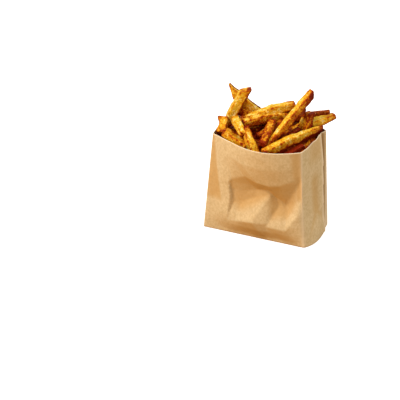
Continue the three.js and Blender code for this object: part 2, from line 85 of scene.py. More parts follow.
def number_input(name, description, default, **limits):
    return FloatProperty(name=name, description=description, default=default, **limits)


def length_input(name, description, default, maximum):
    limits = dict(subtype="DISTANCE", unit="LENGTH", min=0, max=maximum, precision=5)
    return number_input(name, description, default, **limits)


def angle_input(name, description, degrees):
    return number_input(name, description, math.radians(degrees), subtype="ANGLE", unit="ROTATION")


def power_input(name, description, default):
    return number_input(name, description, default, unit="POWER")


def colour_input(name, description, default):
    return FloatVectorProperty(
        name=name, description=description, subtype="COLOR", size=3, min=0, max=1, default=default
    )


def seeded_draw(seed):
    """A repeatable stream of numbers from 0 to 1."""
    state = seed
    while True:
        state = (state * 1664525 + 1013904223) % 4294967296
        yield state / 4294967296


class MeshParts:
    """Vertices in millimetres, faces and per-vertex values, gathered piece by piece."""

    def __init__(self, *value_names):
        self.points = []
        self.faces = []
        self.face_materials = []
        self.values = {name: [] for name in value_names}
        self.count = 0

    def add_points(self, points, **values):
        """Returns the number of the first new vertex."""
        first = self.count
        points = np.asarray(points, float).reshape(-1, 3)
        self.points.append(points)
        self.count += len(points)
        for name, column in self.values.items():
            column.append(np.broadcast_to(values.get(name, 0.0), len(points)))
        return first

    def add_face(self, corners, material):
        self.faces.append(corners)
        self.face_materials.append(material)

    def stack(self, rings, count, flip=False, material=0):
        """Joins each ring to the next one.

        The faces point outwards when the rings run counter-clockwise, seen from the last one's far
        side, and inwards where flip is set.
        """
        for ring, following in zip(rings, rings[1:]):
            lower, upper = (following, ring) if flip else (ring, following)
            for i in range(count):
                j = (i + 1) % count
                self.add_face((lower + i, lower + j, upper + j, upper + i), material)

    def close(self, ring, count, middle, flip=False, material=0, **values):
        """Closes a ring with a fan of faces round a new vertex."""
        centre = self.add_points(middle, **values)
        for i in range(count):
            j = (i + 1) % count
            edge = (ring + j, ring + i) if flip else (ring + i, ring + j)
            self.add_face((*edge, centre), material)

    def mesh(self, name, materials):
        mesh = bpy.data.meshes.new(name)
        points = np.concatenate(self.points) * MM
        mesh.from_pydata(points.tolist(), [], self.faces)
        for material in materials:
            mesh.materials.append(material)
        mesh.polygons.foreach_set("material_index", self.face_materials)
        mesh.polygons.foreach_set("use_smooth", [True] * len(mesh.polygons))
        for value_name, columns in self.values.items():
            attribute = mesh.attributes.new(value_name, "FLOAT", "POINT")
            attribute.data.foreach_set("value", np.concatenate(columns).astype(np.float32))
        mesh.validate()
        return mesh


def link_object(name, data):
    piece = bpy.data.objects.new(name, data)
    bpy.context.scene.collection.objects.link(piece)
    return piece


def finish_piece(piece, node):
    """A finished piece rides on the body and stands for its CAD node."""
    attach(piece, BODY)
    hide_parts(node)


# ---- The bag's form, as in the frame's paper_bag node ----

BAG_WIDTH = 109.5
BAG_DEPTH = 58.0
BAG_HEIGHT = round(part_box("paper_bag")[1].z / MM, 3)
BOTTOM_ROUNDING = 1.4
LOWEST = 0.01  # the height at which the bottom row's panels are worked out
PAPER_WALL = 0.6  # of the frame's solid, which the fries keep clear of
FRIES_CLEARANCE = 0.5

# How far each upright corner crease stands, at the rim, from its place over the bottom.
RIM_SHIFT = {
    "front_left": (10.0, 0.0),
    "front_right": (-2.2, -1.7),
    "back_right": (-1.9, -2.2),
    "back_left": (9.5, -2.0),
}
CORNERS = {
    "front_left": (-1, -1),
    "front_right": (1, -1),
    "back_right": (1, 1),
    "back_left": (-1, 1),
}

# The front panel's creases, from the top one down, each from left to right. A point is how far it
# stands along the panel from the left upright, its height, and how far it is pressed in there. The
# paper is flat between creases, and level with the belly along the rim, the bottom and both uprights.
FRONT_CREASES = [
    # the upper left stands proud, and the middle starts to fall in
    [(9, 90, 0), (20, 90, -0.8), (31, 89, -0.9), (44, 86, -0.8), (57, 85, -0.2),
     (72, 84, 0.2), (84, 85, 0.3), (96, 88, 0.3), (106, 93, 0.2)],
    # the top of the band that falls steeply into the valley
    [(9, 60, 0), (26.5, 59.7, -1.0), (30.4, 63.5, 0.6), (46.5, 71, 1.6), (63, 66, 1.2),
     (74.5, 64.5, 1.6), (86.5, 66.5, 2.0), (98, 71.5, 2.0), (107, 79, 0.8)],
    # the valley, from the left pocket over the ridge's top and the pinch to the right upright
    [(10, 51, 0.4), (27.7, 52, -0.4), (29.4, 49, 4.2), (41.9, 50, 6.8), (58, 55, 8.4),
     (72, 57, 8.0), (80, 47.5, 10.0), (88.3, 40.5, 11.4), (106.8, 72, 2.6)],
    # the pocket's point, the ridge's top and the pinch
    [(10, 44, 0.8), (28.4, 38.5, 0.4), (31.2, 35.5, 4.8), (41, 37, 8.0), (54.8, 45.2, 8.2),
     (74.5, 53.5, 5.6), (82, 39.5, 9.6), (91.5, 35.5, 7.8), (106.5, 51.5, 2.2)],
    # the lower facets stand proud
    [(10, 18, 0), (20, 17, -0.6), (27, 16.5, -0.8), (35, 17, -0.8), (46, 19.7, -1.0),
     (56.6, 22, -3.0), (71, 18, 1.0), (92.3, 18, -1.4), (106, 37.5, -1.8)],
]
# A valley on another panel runs from one point, as (along the panel, height), to another, always
# from left to right or upwards. It is pressed in by depth at either end, and is level again at the
# distances in reach, as (below or right of it, above or left of it), and at end_reach past its ends.
BACK_VALLEYS = [
    dict(start=(22, 60), end=(58, 56), depth=(4, 6), reach=(14, 20), end_reach=12),
    dict(start=(58, 56), end=(92, 62), depth=(6, 3), reach=(13, 20), end_reach=12),
]
SIDE_VALLEYS = [
    dict(start=(29, 30), end=(27, 105), depth=(1.6, 1.6), reach=(16, 16), end_reach=10),
    dict(start=(4, 6), end=(29, 30), depth=(0.6, 1.4), reach=(9, 9), end_reach=8),
    dict(start=(29, 30), end=(54, 6), depth=(1.4, 0.6), reach=(9, 9), end_reach=8),
]

FOLD_EDGE = 0.06  # share of a panel over which its folds fade out at the uprights

FRONT_BELLY = dict(depth=18.9, skew=1.29, power=0.88)
BACK_BELLY = dict(depth=13.0, skew=1.0, power=0.9)
RIGHT_BELLY = 1.5
LEFT_BELLY = 3.0
LEFT_BELLY_RISE = 20.0  # the height over which the left panel's belly grows from the bottom
SIDE_FLARE = dict(depth=5.6, skew=0.6, height=46.0, power=1.5)  # the right panel's foot
RIM_DIP = dict(depth=3.0, middle=0.78, reach=0.2, bottom=75.0)  # in the right panel
# The heights at which the front and back bellies have these shares of their depth.
BELLY_HEIGHTS = (0, 4, 12, 22, 34, 44, 60, 67, 76, 86, 96, 105)
BELLY_SHARES = (0, 0.05, 0.28, 0.46, 0.48, 0.475, 0.57, 0.65, 0.76, 0.865, 0.95, 1)


def corner(name, z):
    side = np.array(CORNERS[name]) * (BAG_WIDTH / 2, BAG_DEPTH / 2)
    return side + np.array(RIM_SHIFT[name]) * (z / BAG_HEIGHT)


def panel_line(start_name, end_name, z):
    """A panel's straight line at a height: its start, its run, its length and the way out."""
    start = corner(start_name, z)
    run = corner(end_name, z) - start
    length = np.linalg.norm(run)
    return start, run, length, np.array((run[1], -run[0])) / length


def ring_inward(ring):
    """Level unit vectors into a ring that runs counter-clockwise, one for each of its points."""
    sides = np.roll(ring, -1, axis=0) - np.roll(ring, 1, axis=0)
    inward = np.column_stack((-sides[:, 1], sides[:, 0]))
    return inward / np.linalg.norm(inward, axis=1)[:, None]


def arch(share, skew=1.0, power=1.0):
    """0 at both ends of a panel and 1 at its highest point, which skew moves along the panel."""
    return np.clip(np.sin(np.pi * share**skew), 0, 1) ** power


def fold_depth(folds, along, z):
    along = np.asarray(along, float)
    deepest = np.zeros_like(along)
    for fold in folds:
        start = np.array(fold["start"], float)
        run = np.array(fold["end"], float) - start
        length = math.hypot(*run)
        run /= length
        reached = (along - start[0]) * run[0] + (z - start[1]) * run[1]
        side = (z - start[1]) * run[0] - (along - start[0]) * run[1]
        past = np.maximum(np.maximum(-reached, reached - length), 0)
        below, above = fold["reach"]
        first, last = fold["depth"]
        pressed = first + (last - first) * np.clip(reached / length, 0, 1)
        pressed = pressed * np.maximum(0, 1 - np.where(side > 0, side / above, -side / below))
        pressed = pressed * np.maximum(0, 1 - past / fold["end_reach"])
        deepest = np.where(np.abs(pressed) > np.abs(deepest), pressed, deepest)
    return deepest


def crease_triangles(creases, width):
    """The flat pieces between creases, each as its three corners (along, height, depth)."""
    rows = []
    for crease in creases:
        first, last = crease[0], crease[-1]
        rows.append([(0, first[1], 0), *crease, (width, last[1], 0)])
    rim = [(point[0], BAG_HEIGHT, 0) for point in rows[0]]
    bottom = [(point[0], 0, 0) for point in rows[-1]]
    rows = [rim, *rows, bottom]
    triangles = []
    for upper, lower in zip(rows, rows[1:]):
        for i in range(len(upper) - 1):
            triangles.append((upper[i], lower[i], lower[i + 1]))
            triangles.append((upper[i], lower[i + 1], upper[i + 1]))
    return np.array(triangles, float)


def creased_depth(triangles, along, z):
    """How far the flat piece that holds a point is pressed in there."""
    points = np.stack(np.broadcast_arrays(np.asarray(along, float), float(z)), axis=-1)
    start = triangles[:, 0, :2]
    first = triangles[:, 1, :2] - start
    second = triangles[:, 2, :2] - start
    area = first[:, 0] * second[:, 1] - first[:, 1] * second[:, 0]
    offset = points[..., None, :] - start
    share_1 = (offset[..., 0] * second[:, 1] - offset[..., 1] * second[:, 0]) / area
    share_2 = (first[:, 0] * offset[..., 1] - first[:, 1] * offset[..., 0]) / area
    share_0 = 1 - share_1 - share_2
    inside = np.minimum(np.minimum(share_0, share_1), share_2)
    best = np.argmax(inside, axis=-1)
    depths = triangles[:, :, 2]
    pressed = share_0 * depths[:, 0] + share_1 * depths[:, 1] + share_2 * depths[:, 2]
    return np.take_along_axis(pressed, best[..., None], axis=-1)[..., 0]


FRONT_TRIANGLES = crease_triangles(FRONT_CREASES, BAG_WIDTH)


def edge_fade(share, edge=FOLD_EDGE):
    """0 at a panel's two upright creases and 1 from a share of its width inside them."""
    return np.clip(np.minimum(share, 1 - share) / edge, 0, 1)


def belly(form, share, z):
    rise = np.interp(z, BELLY_HEIGHTS, BELLY_SHARES)
    return form["depth"] * arch(share, form["skew"], form["power"]) * rise


def front_out(share, z):
    return belly(FRONT_BELLY, share, z) - creased_depth(FRONT_TRIANGLES, share * BAG_WIDTH, z)


def right_out(share, z):
    drop = np.clip(1 - z / SIDE_FLARE["height"], 0, 1) ** SIDE_FLARE["power"]
    flare = SIDE_FLARE["depth"] * arch(share, SIDE_FLARE["skew"]) * drop
    near_dip = np.clip(1 - np.abs(share - RIM_DIP["middle"]) / RIM_DIP["reach"], 0, 1)
    rise = np.clip((z - RIM_DIP["bottom"]) / (BAG_HEIGHT - RIM_DIP["bottom"]), 0, 1)
    folds = fold_depth(SIDE_VALLEYS, share * BAG_DEPTH, z) + RIM_DIP["depth"] * near_dip * rise
    return RIGHT_BELLY * arch(share) + flare - folds * edge_fade(share)


def back_out(share, z):
    folds = fold_depth(BACK_VALLEYS, share * BAG_WIDTH, z)
    return belly(BACK_BELLY, share, z) - folds * edge_fade(share)


def left_out(share, z):
    folds = fold_depth(SIDE_VALLEYS, share * BAG_DEPTH, z)
    return LEFT_BELLY * arch(share) * min(1, z / LEFT_BELLY_RISE) - folds * edge_fade(share)


# Counter-clockwise from above: the corners it runs between, how far it stands out, and its columns.
PANELS = {
    "front": ("front_left", "front_right", front_out, 112),
    "right": ("front_right", "back_right", right_out, 62),
    "back": ("back_right", "back_left", back_out, 84),
    "left": ("back_left", "front_left", left_out, 46),
}


# ---- The paper bag ----

ROW_STEP = 1.0
BOTTOM_STEPS = 4  # rows in the bottom's rounding
CUT_EDGE = 0.5  # how far the pale cut edge fades down the paper
FACES_DOWN = (0.0, 0.6)  # how far down a face looks where its shade starts and where it is full

# Small flat facets all over, as handled paper has, with waves under them. facet and wave are their
# widths, usual is a facet's mean height, and the shares are of the crumple's depth, which grows from
# the uprights, over CRUMPLE_EDGE of the panel, and from the bottom, over CRUMPLE_RISE millimetres.
CRUMPLE = dict(facet=17, facet_share=0.55, usual=0.4, wave=26, wave_share=0.6, aside=(7, 3, 1))
CRUMPLE_EDGE = 0.1
CRUMPLE_RISE = 8.0

# Beside the upright creases the paper is paler, partly rubbed and partly a painted highlight.
UPRIGHT_WEAR_AND_HIGHLIGHT = dict(most=0.6, reach=1.1, left=0.2)  # left is the share of it at the front's left

# The right panel's glued lap ends at foot, a share of the panel, and leans back by another share up
# to its top. It lifts by step over about lift millimetres before its free edge, and comes back over
# the drop millimetres behind it. The pairs say where the painted shadow in its gap, and its paler
# edge and the painted light on the strip behind, start and are full or gone.
SEAM = dict(foot=0.765, lean=0.065, top=80, step=0.9, lift=2.2, drop=10)
SEAM_GAP_SHADE = dict(opens=(-0.5, 0.8), ends=(3.5, 8.5), rises=(2, 40))
SEAM_WEAR_AND_LIGHT = dict(before=1.2, reach=1.1, strip=(4, 6), upper=0.3, lower=0.3, top=60)

# Where less light comes. A pair of numbers is where a shade starts and is full, or fades and is gone.
# The left one is width wide at its top, and wider by widening for each millimetre further down.
SIDE_SHADE = dict(
    most=0.55, pressed=(0.4, 1.5), front_part=42, fade=(60, 76), top=0.7, along=(8, 30), rise=(76, 90)
)
LEFT_SHADE = dict(most=0.65, width=4.5, widening=0.23, top=95, blur=1.5, rise=(32, 40))
RIGHT_SHADE = dict(most=0.65, along=(BAG_WIDTH - 13, BAG_WIDTH - 5), rise=(47, 55))
DEEP_SHADE = dict(most=0.62, pressed=(2, 6.8))


def behind_seam(share, z):
    """How far a place on the right panel lies behind the free edge of its upright lap."""
    lap = SEAM["foot"] + SEAM["lean"] * min(z, SEAM["top"]) / SEAM["top"]
    return (share - lap) * BAG_DEPTH


def seam_relief(share, z):
    """The lap lifts towards its free edge, drops off it and comes back to the back crease."""
    away = behind_seam(share, z)
    lift = SEAM["step"] * np.exp(np.minimum(away, 0) / SEAM["lift"]) * (away <= 0)
    drop = -SEAM["step"] * np.clip(1 - away / SEAM["drop"], 0, 1) * (away > 0)
    return (lift + drop) * edge_fade(share)


def seam_gap_shade(share, z):
    """1 in the painted shadow in the gap under the lap's free edge, which closes towards the bottom.
    """
    behind = behind_seam(share, z)
    gap = smoothstep(*SEAM_GAP_SHADE["opens"], behind) * (1 - smoothstep(*SEAM_GAP_SHADE["ends"], behind))
    return gap * smoothstep(*SEAM_GAP_SHADE["rises"], z)


def seam_wear_and_highlight(share, z):
    """The lap's free edge is paler, partly rubbed and partly a painted highlight, and the strip
    behind its gap gets painted light, most of all low down.
    """
    behind = behind_seam(share, z)
    edge = np.exp(-np.abs(behind + SEAM_WEAR_AND_LIGHT["before"]) / SEAM_WEAR_AND_LIGHT["reach"])
    low_down = 1 - min(1, z / SEAM_WEAR_AND_LIGHT["top"])
    strip = smoothstep(*SEAM_WEAR_AND_LIGHT["strip"], behind)
    strip = strip * (SEAM_WEAR_AND_LIGHT["upper"] + SEAM_WEAR_AND_LIGHT["lower"] * low_down)
    return np.maximum(edge, strip) * (1 - seam_gap_shade(share, z))


def upright_wear_and_highlight(name, share, length):
    """How much paler a panel is beside its upright creases, partly rubbed paper and partly a painted
    highlight. Those on the left get little of it.
    """
    from_crease = np.minimum(share, 1 - share) * length
    worn_and_lit = UPRIGHT_WEAR_AND_HIGHLIGHT["most"] * np.exp(-from_crease / UPRIGHT_WEAR_AND_HIGHLIGHT["reach"])
    if name == "left":
        return worn_and_lit * UPRIGHT_WEAR_AND_HIGHLIGHT["left"]
    if name == "front":
        return worn_and_lit * np.where(share > 0.5, 1, UPRIGHT_WEAR_AND_HIGHLIGHT["left"])
    return worn_and_lit


def side_shade(share, z):
    along = share * BAG_DEPTH
    folds = smoothstep(*SIDE_SHADE["pressed"], fold_depth(SIDE_VALLEYS, along, z))
    folds = folds * (along < SIDE_SHADE["front_part"]) * (1 - smoothstep(*SIDE_SHADE["fade"], z))
    top = smoothstep(*SIDE_SHADE["along"], along) * smoothstep(*SIDE_SHADE["rise"], z)
    return SIDE_SHADE["most"] * np.maximum(folds, SIDE_SHADE["top"] * top)


def front_shade(share, z):
    along = share * BAG_WIDTH
    facet = LEFT_SHADE["width"] + LEFT_SHADE["widening"] * (LEFT_SHADE["top"] - z)
    off_facet = smoothstep(facet - LEFT_SHADE["blur"], facet + LEFT_SHADE["blur"], along)
    left = LEFT_SHADE["most"] * (1 - off_facet) * smoothstep(*LEFT_SHADE["rise"], z)
    right = RIGHT_SHADE["most"] * smoothstep(*RIGHT_SHADE["along"], along)
    right = right * smoothstep(*RIGHT_SHADE["rise"], z)
    pressed = creased_depth(FRONT_TRIANGLES, along, z)
    deep = DEEP_SHADE["most"] * smoothstep(*DEEP_SHADE["pressed"], pressed)
    return np.maximum(np.maximum(left, right), deep)


def shaded_folds(name, share, z):
    """1 where a panel turns away beside an upright or lies deep in a fold, so less light comes."""
    shades = {"front": front_shade, "right": side_shade}
    return shades[name](share, z) if name in shades else np.zeros(len(share))


def crumple(point, depth):
    near = noise.voronoi(Vector(point) / CRUMPLE["facet"])[0][0]
    wave = noise.noise(Vector(point) / CRUMPLE["wave"] + Vector(CRUMPLE["aside"]))
    facet = CRUMPLE["facet_share"] * (near - CRUMPLE["usual"])
    return depth * (facet + CRUMPLE["wave_share"] * wave)


def softened(out, share, z, spread):
    """A panel's form with its creases rounded over a small spread, as a share of its width."""
    lift = spread * BAG_WIDTH
    stands = 2 * out(share, z)
    for aside, higher in ((-spread, 0), (spread, 0), (0, -lift), (0, lift)):
        near = out(np.clip(share + aside, 0, 1), min(max(z + higher, 0), BAG_HEIGHT))
        stands = stands + near
    fade = edge_fade(share, spread)
    return out(share, z) * (1 - fade) + stands / 6 * fade


def bag_row(z, settings):
    """One ring of the bag's outside, with its rubbed paleness and painted highlights, its painted
    shade and the painted shadow under the lap.
    """
    panels = []
    for name, (start_name, end_name, out, columns) in PANELS.items():
        start, run, length, outward = panel_line(start_name, end_name, z)
        share = np.arange(columns) / columns
        stands = softened(out, share, z, settings.softness / MM / length)
        worn_and_lit = upright_wear_and_highlight(name, share, length)
        gap = np.zeros(columns)
        if name == "right":
            stands = stands + seam_relief(share, z)
            worn_and_lit = np.maximum(worn_and_lit, seam_wear_and_highlight(share, z))
            gap = seam_gap_shade(share, z)
        flat = start + np.outer(share, run)
        depth = settings.crumple / MM * min(1, z / CRUMPLE_RISE)
        bumps = np.array([crumple((*point, z), depth) for point in flat])
        flat = flat + np.outer(stands + edge_fade(share, CRUMPLE_EDGE) * bumps, outward)
        points = np.column_stack((flat, np.full(columns, z)))
        panels.append((points, worn_and_lit, shaded_folds(name, share, z), gap))
    return [np.concatenate(columns) for columns in zip(*panels)]


def bag_rows(settings):
    """The outside's rings from the bottom's rounding up to the rim, as (rows, columns, 3)."""
    rows, values = [], []
    turns = np.linspace(0, math.pi / 2, BOTTOM_STEPS + 1)
    count = round((BAG_HEIGHT - BOTTOM_ROUNDING) / ROW_STEP)
    heights = [BOTTOM_ROUNDING * (1 - math.cos(turn)) for turn in turns]
    heights += list(np.linspace(BOTTOM_ROUNDING, BAG_HEIGHT, count + 1)[1:])
    for z in heights:
        points, *wear_light_and_shade = bag_row(max(z, LOWEST), settings)
        points[:, 2] = z
        if z < BOTTOM_ROUNDING:
            turned_in = BOTTOM_ROUNDING - math.sqrt(BOTTOM_ROUNDING**2 - (BOTTOM_ROUNDING - z) ** 2)
            points[:, :2] += ring_inward(points) * turned_in
        rows.append(points)
        values.append(wear_light_and_shade)
    return np.array(rows), np.array(values)


def grid_normals(rows):
    """Outward normals of rings that close on themselves."""
    along = np.roll(rows, -1, axis=1) - np.roll(rows, 1, axis=1)
    rise = np.gradient(rows, axis=0)
    normals = np.cross(along, rise)
    return normals / np.linalg.norm(normals, axis=2)[..., None]


def paper_bag_parts(settings):
    parts = MeshParts("wear", "rim", "under", "gap")
    outside, values = bag_rows(settings)
    normals = grid_normals(outside)
    wall = settings.wall / MM
    inside = outside - normals * wall
    inside[-1, :, 2] = BAG_HEIGHT
    inside[:, :, 2] = np.maximum(inside[:, :, 2], wall)
    columns = outside.shape[1]
    near_rim = np.exp((outside[:, :, 2] - BAG_HEIGHT) / CUT_EDGE)
    # Painted shade: paper that faces down takes the shaded colour through under, as do the shaded
    # folds.
    faces_down = smoothstep(*FACES_DOWN, -normals[:, :, 2])
    outer = [
        parts.add_points(row, wear=wear, rim=rim, under=np.maximum(down, shaded), gap=gap)
        for row, (wear, shaded, gap), rim, down in zip(outside, values, near_rim, faces_down)
    ]
    inner = [parts.add_points(row, rim=rim) for row, rim in zip(inside, near_rim)]
    parts.stack([*outer, inner[-1]], columns)
    parts.stack(inner, columns, flip=True, material=1)
    parts.close(outer[0], columns, (0, 0, 0), flip=True)
    parts.close(inner[0], columns, (0, 0, wall), material=1)
    return parts


# ---- The fries' places ----

FRY_WIDTH = 7.8
CORE_SIDE_TOP = 88.0
CORE_MIDDLE_TOP = 101.0
CORE_MIDDLE = np.array((4.0, -4.0))
FILLER_SIDE_TOP = 96.0
FILLER_MIDDLE_TOP = 112.0
FILLER_MIDDLE = np.array((4.0, 6.0))
DOME_DEPTH = 0.7  # share of the bag's depth at which a dome has come down to its sides
NEAREST_CORNER = 0.02  # share of a panel that a point beside it is kept from its ends
CORE_SLACK = 2.8  # the heap doesn't press into every fold of the paper

FILLER_SEED = 20
FILLER_ENDS_SEED = 21
FILLER_LENGTHS = (36, 60)
FILLER_WIDTHS = (0.88, 1.06)  # shares of a fry's usual width
FILLER_ENDS = (0.72, 1)
FILLER_PITCH = (-0.15, 0.5)
FILLER_CUT = 4
FILLER_BOW = 1.5
FILLER_BOX = ((-32, 38), (-38, 24), (94, 112))  # where their middles start

SETTLE_STEPS = 120
SINK_PER_STEP = 0.22
WATCHED_SHARES = (0, 0.25, 0.5, 0.75, 1)  # of a filler, from foot to tip
HELD_AWAY = 0.7  # shares of its width that a filler's middle line is held from the paper,
HELD_OVER = 0.1  # over the core's dome
HELD_UNDER = 0.5  # and under the heap's
HOLD_RATE = 0.6  # of what is missing, in each step
CROSSED = 0.58  # nearer the paper than this share of its width, a filler crosses it
CROSSED_SLACK = 0.3
END_PUSH = 1.4  # how far a push at one end moves that end, against a push of the whole fry
WHOLE_PUSH = 0.2
TOUCHING = 1e-6  # less than this is no distance at all

# The fries that show. foot is the end down in the heap and tip the free end, width and thick are
# measured in the middle, cut is how much longer the fry is on its left side and on its upper side at
# the tip, ends how wide it is at the foot and the tip, as shares of its middle, and bow bends its
# middle up. brown is how dark it fried, tip_brown how much darker its tip is, foot_shade how much
# painted shade darkens its foot down in the heap, painted_shade_side a side darkened by painted
# shade, as (angle, how much), and crisp how blistered the crust is. skin is a list of strips, each as
# (angle, half its width, share of the length where it starts and where it ends). An angle runs round
# the fry in degrees, from its left side, seen from the foot, over its upper side.
SHOWN_FRIES = [
    dict(foot=(4, 15, 102.5), tip=(-40.5, 4.5, 138), width=7.6, thick=10, cut=(0, 15), brown=-0.06,
         skin=[(110, 16, 0, 1)]),
    dict(foot=(-44.2, -11, 95.6), tip=(-23.5, 1.7, 144.3), width=9.6, thick=10, cut=(0, -7),
         ends=(0.55, 0.98), bow=0.5, brown=0, foot_shade=0.3, skin=[(222, 10, 0.7, 1)]),
    dict(foot=(-38.8, -23, 103.4), tip=(-43, -9, 115.6), width=9.4, cut=(0, -3), brown=0.2,
         skin=[(20, 24, 0, 1)]),
    dict(foot=(-4.5, -36, 100), tip=(-32, -28, 109), width=9.4, ends=(0.8, 1), brown=0.16,
         painted_shade_side=(170, 0.3)),
    dict(foot=(-10, -33, 112), tip=(-23.5, -23, 122.5), width=7, ends=(0.8, 1.1), cut=(0, 4),
         brown=0.06),
    dict(foot=(6.5, -38.5, 95), tip=(-11, -25, 117.5), width=9, ends=(1.08, 0.6), brown=0.12,
         tip_brown=0.5),
    dict(foot=(8, -2, 117.5), tip=(11.5, -34, 106), width=8.4, cut=(3, 0), ends=(1, 0.85), brown=0.52,
         tip_brown=0.3, crisp=1),
    dict(foot=(10, 4, 105.5), tip=(16, -22, 100), width=7.6, brown=0.8),
    dict(foot=(-19, -7.5, 117), tip=(20.5, 23.5, 127), width=9.6, ends=(0.7, 0.95), bow=1.5,
         brown=0.1, tip_brown=0.5),
    dict(foot=(-17, -18.5, 116.5), tip=(17, 18, 117), width=9.4, ends=(0.85, 0.95), bow=1.5,
         brown=0.34, tip_brown=0.3, crisp=1),
    dict(foot=(12, -33, 98.5), tip=(39.5, 21, 144.5), width=7.8, ends=(0.6, 0.98), cut=(0, 5),
         brown=0.08, tip_brown=0.5, painted_shade_side=(190, 0.42)),
    dict(foot=(16.5, -43, 101.5), tip=(50.5, 23, 110), width=9.2, ends=(0.9, 0.4), bow=1, brown=0.12,
         tip_brown=0.45),
    dict(foot=(24, -29.5, 96.5), tip=(46.5, 26, 103.5), width=7.6, brown=1.15,
         skin=[(260, 70, 0, 1)]),
    dict(foot=(19.5, 10, 101.5), tip=(57, 37.5, 117.5), width=12.4, thick=9, cut=(-4, 0),
         ends=(1, 0.62), brown=0.0, tip_brown=0.5, foot_shade=0.7),
    dict(foot=(12, 24, 110), tip=(49, 44, 116.5), width=7.6, ends=(1, 0.7), brown=0.75,
         skin=[(100, 60, 0, 1)]),
    dict(foot=(34, 9, 104), tip=(37.5, 20, 124), width=11.5, thick=9.5, cut=(0, -4),
         ends=(1, 0.9), brown=0.36, tip_brown=0.1, painted_shade_side=(200, 0.4), foot_shade=0.3, crisp=1),
    dict(foot=(12, 9, 106.5), tip=(-33, 3, 120), width=8.2, brown=0.5, crisp=1),
    dict(foot=(-2, -16, 104), tip=(17.5, 3, 116), width=7.6, brown=0.7),
    dict(foot=(22.5, -17.5, 101), tip=(33, 7, 111), width=7.6, ends=(0.9, 0.7), brown=0.9),
    dict(foot=(-8, 20, 101.5), tip=(-27, 31.5, 111), width=7.6, cut=(3, 0), brown=0.35),
    dict(foot=(9, 20, 103), tip=(18, 46, 114), width=7.6, cut=(-3, 0), brown=0.25),
    dict(foot=(-35, 8, 107), tip=(-17, -9, 117), width=8, brown=0.5, crisp=1),
]


def dome(point, middle, middle_top, side_top):
    """Height of a dome over the mouth, which falls from middle_top to side_top at the panels."""
    across = (point[0] - middle[0]) / (BAG_WIDTH / 2)
    deep = (point[1] - middle[1]) / (BAG_DEPTH * DOME_DEPTH)
    return middle_top + (side_top - middle_top) * min(1, across * across + deep * deep)


def keep_inside(point, margin):
    """Moves a point that is lower than the rim to at least margin inside the panels."""
    if point[2] > BAG_HEIGHT + margin:
        return point
    z = min(point[2], BAG_HEIGHT)
    walls = {}
    for name, (start_name, end_name, out, _) in PANELS.items():
        start = corner(start_name, z)
        run = corner(end_name, z) - start
        share = (point[:2] - start) @ run / (run @ run)
        share = min(max(share, NEAREST_CORNER), 1 - NEAREST_CORNER)
        walls[name] = (start + run * share, float(out(share, z)))
    front, right, back, left = (walls[name] for name in ("front", "right", "back", "left"))
    y = max(point[1], front[0][1] - front[1] + margin)
    y = min(y, back[0][1] + back[1] - margin)
    x = min(point[0], right[0][0] + right[1] - margin)
    x = max(x, left[0][0] - left[1] + margin)
    return np.array((x, y, point[2]))


def nearest_shares(a, b):
    """The nearest points of two fries' centre lines, as shares from foot to tip."""
    along_a = a["tip"] - a["foot"]
    along_b = b["tip"] - b["foot"]
    between = a["foot"] - b["foot"]
    length_a = along_a @ along_a
    length_b = along_b @ along_b
    cross = along_a @ along_b
    offset_a = along_a @ between
    offset_b = along_b @ between
    spread = length_a * length_b - cross * cross
    share_a = 0.5
    if spread > TOUCHING:
        share_a = min(max((cross * offset_b - offset_a * length_b) / spread, 0), 1)
    share_b = (cross * share_a + offset_b) / length_b
    if not 0 <= share_b <= 1:
        share_b = min(max(share_b, 0), 1)
        share_a = min(max((cross * share_b - offset_a) / length_a, 0), 1)
    return share_a, share_b


def push_fry(fry, share, push):
    if fry["pinned"]:
        return
    fry["foot"] = fry["foot"] + push * (END_PUSH * (1 - share) + WHOLE_PUSH)
    fry["tip"] = fry["tip"] + push * (END_PUSH * share + WHOLE_PUSH)


def push_apart(a, b):
    share_a, share_b = nearest_shares(a, b)
    point_a = a["foot"] + (a["tip"] - a["foot"]) * share_a
    point_b = b["foot"] + (b["tip"] - b["foot"]) * share_b
    apart = point_a - point_b
    distance = math.sqrt(apart @ apart)
    overlap = (a["width"] + b["width"]) / 2 - distance
    if overlap <= 0 or distance < TOUCHING:
        return
    movers = 2 - a["pinned"] - b["pinned"]
    apart = apart * (0.5 * overlap / (distance * movers))
    push_fry(a, share_a, apart)
    push_fry(b, share_b, -apart)


def hold_filler(fry):
    """Keeps a filler inside the paper, between the core's dome and the heap's, at its length."""
    for share in WATCHED_SHARES:
        point = fry["foot"] + (fry["tip"] - fry["foot"]) * share
        held = keep_inside(point, PAPER_WALL + FRIES_CLEARANCE + HELD_AWAY * fry["width"])
        ceiling = dome(held, FILLER_MIDDLE, FILLER_MIDDLE_TOP, FILLER_SIDE_TOP)
        floor = dome(held, CORE_MIDDLE, CORE_MIDDLE_TOP, CORE_SIDE_TOP)
        lowest = floor + HELD_OVER * fry["width"]
        highest = ceiling - HELD_UNDER * fry["width"]
        held = np.array((held[0], held[1], max(lowest, min(highest, held[2]))))
        push_fry(fry, share, (held - point) * HOLD_RATE)
    middle = (fry["foot"] + fry["tip"]) / 2
    half = unit(fry["tip"] - fry["foot"]) * fry["length"] / 2
    fry["foot"] = middle - half
    fry["tip"] = middle + half


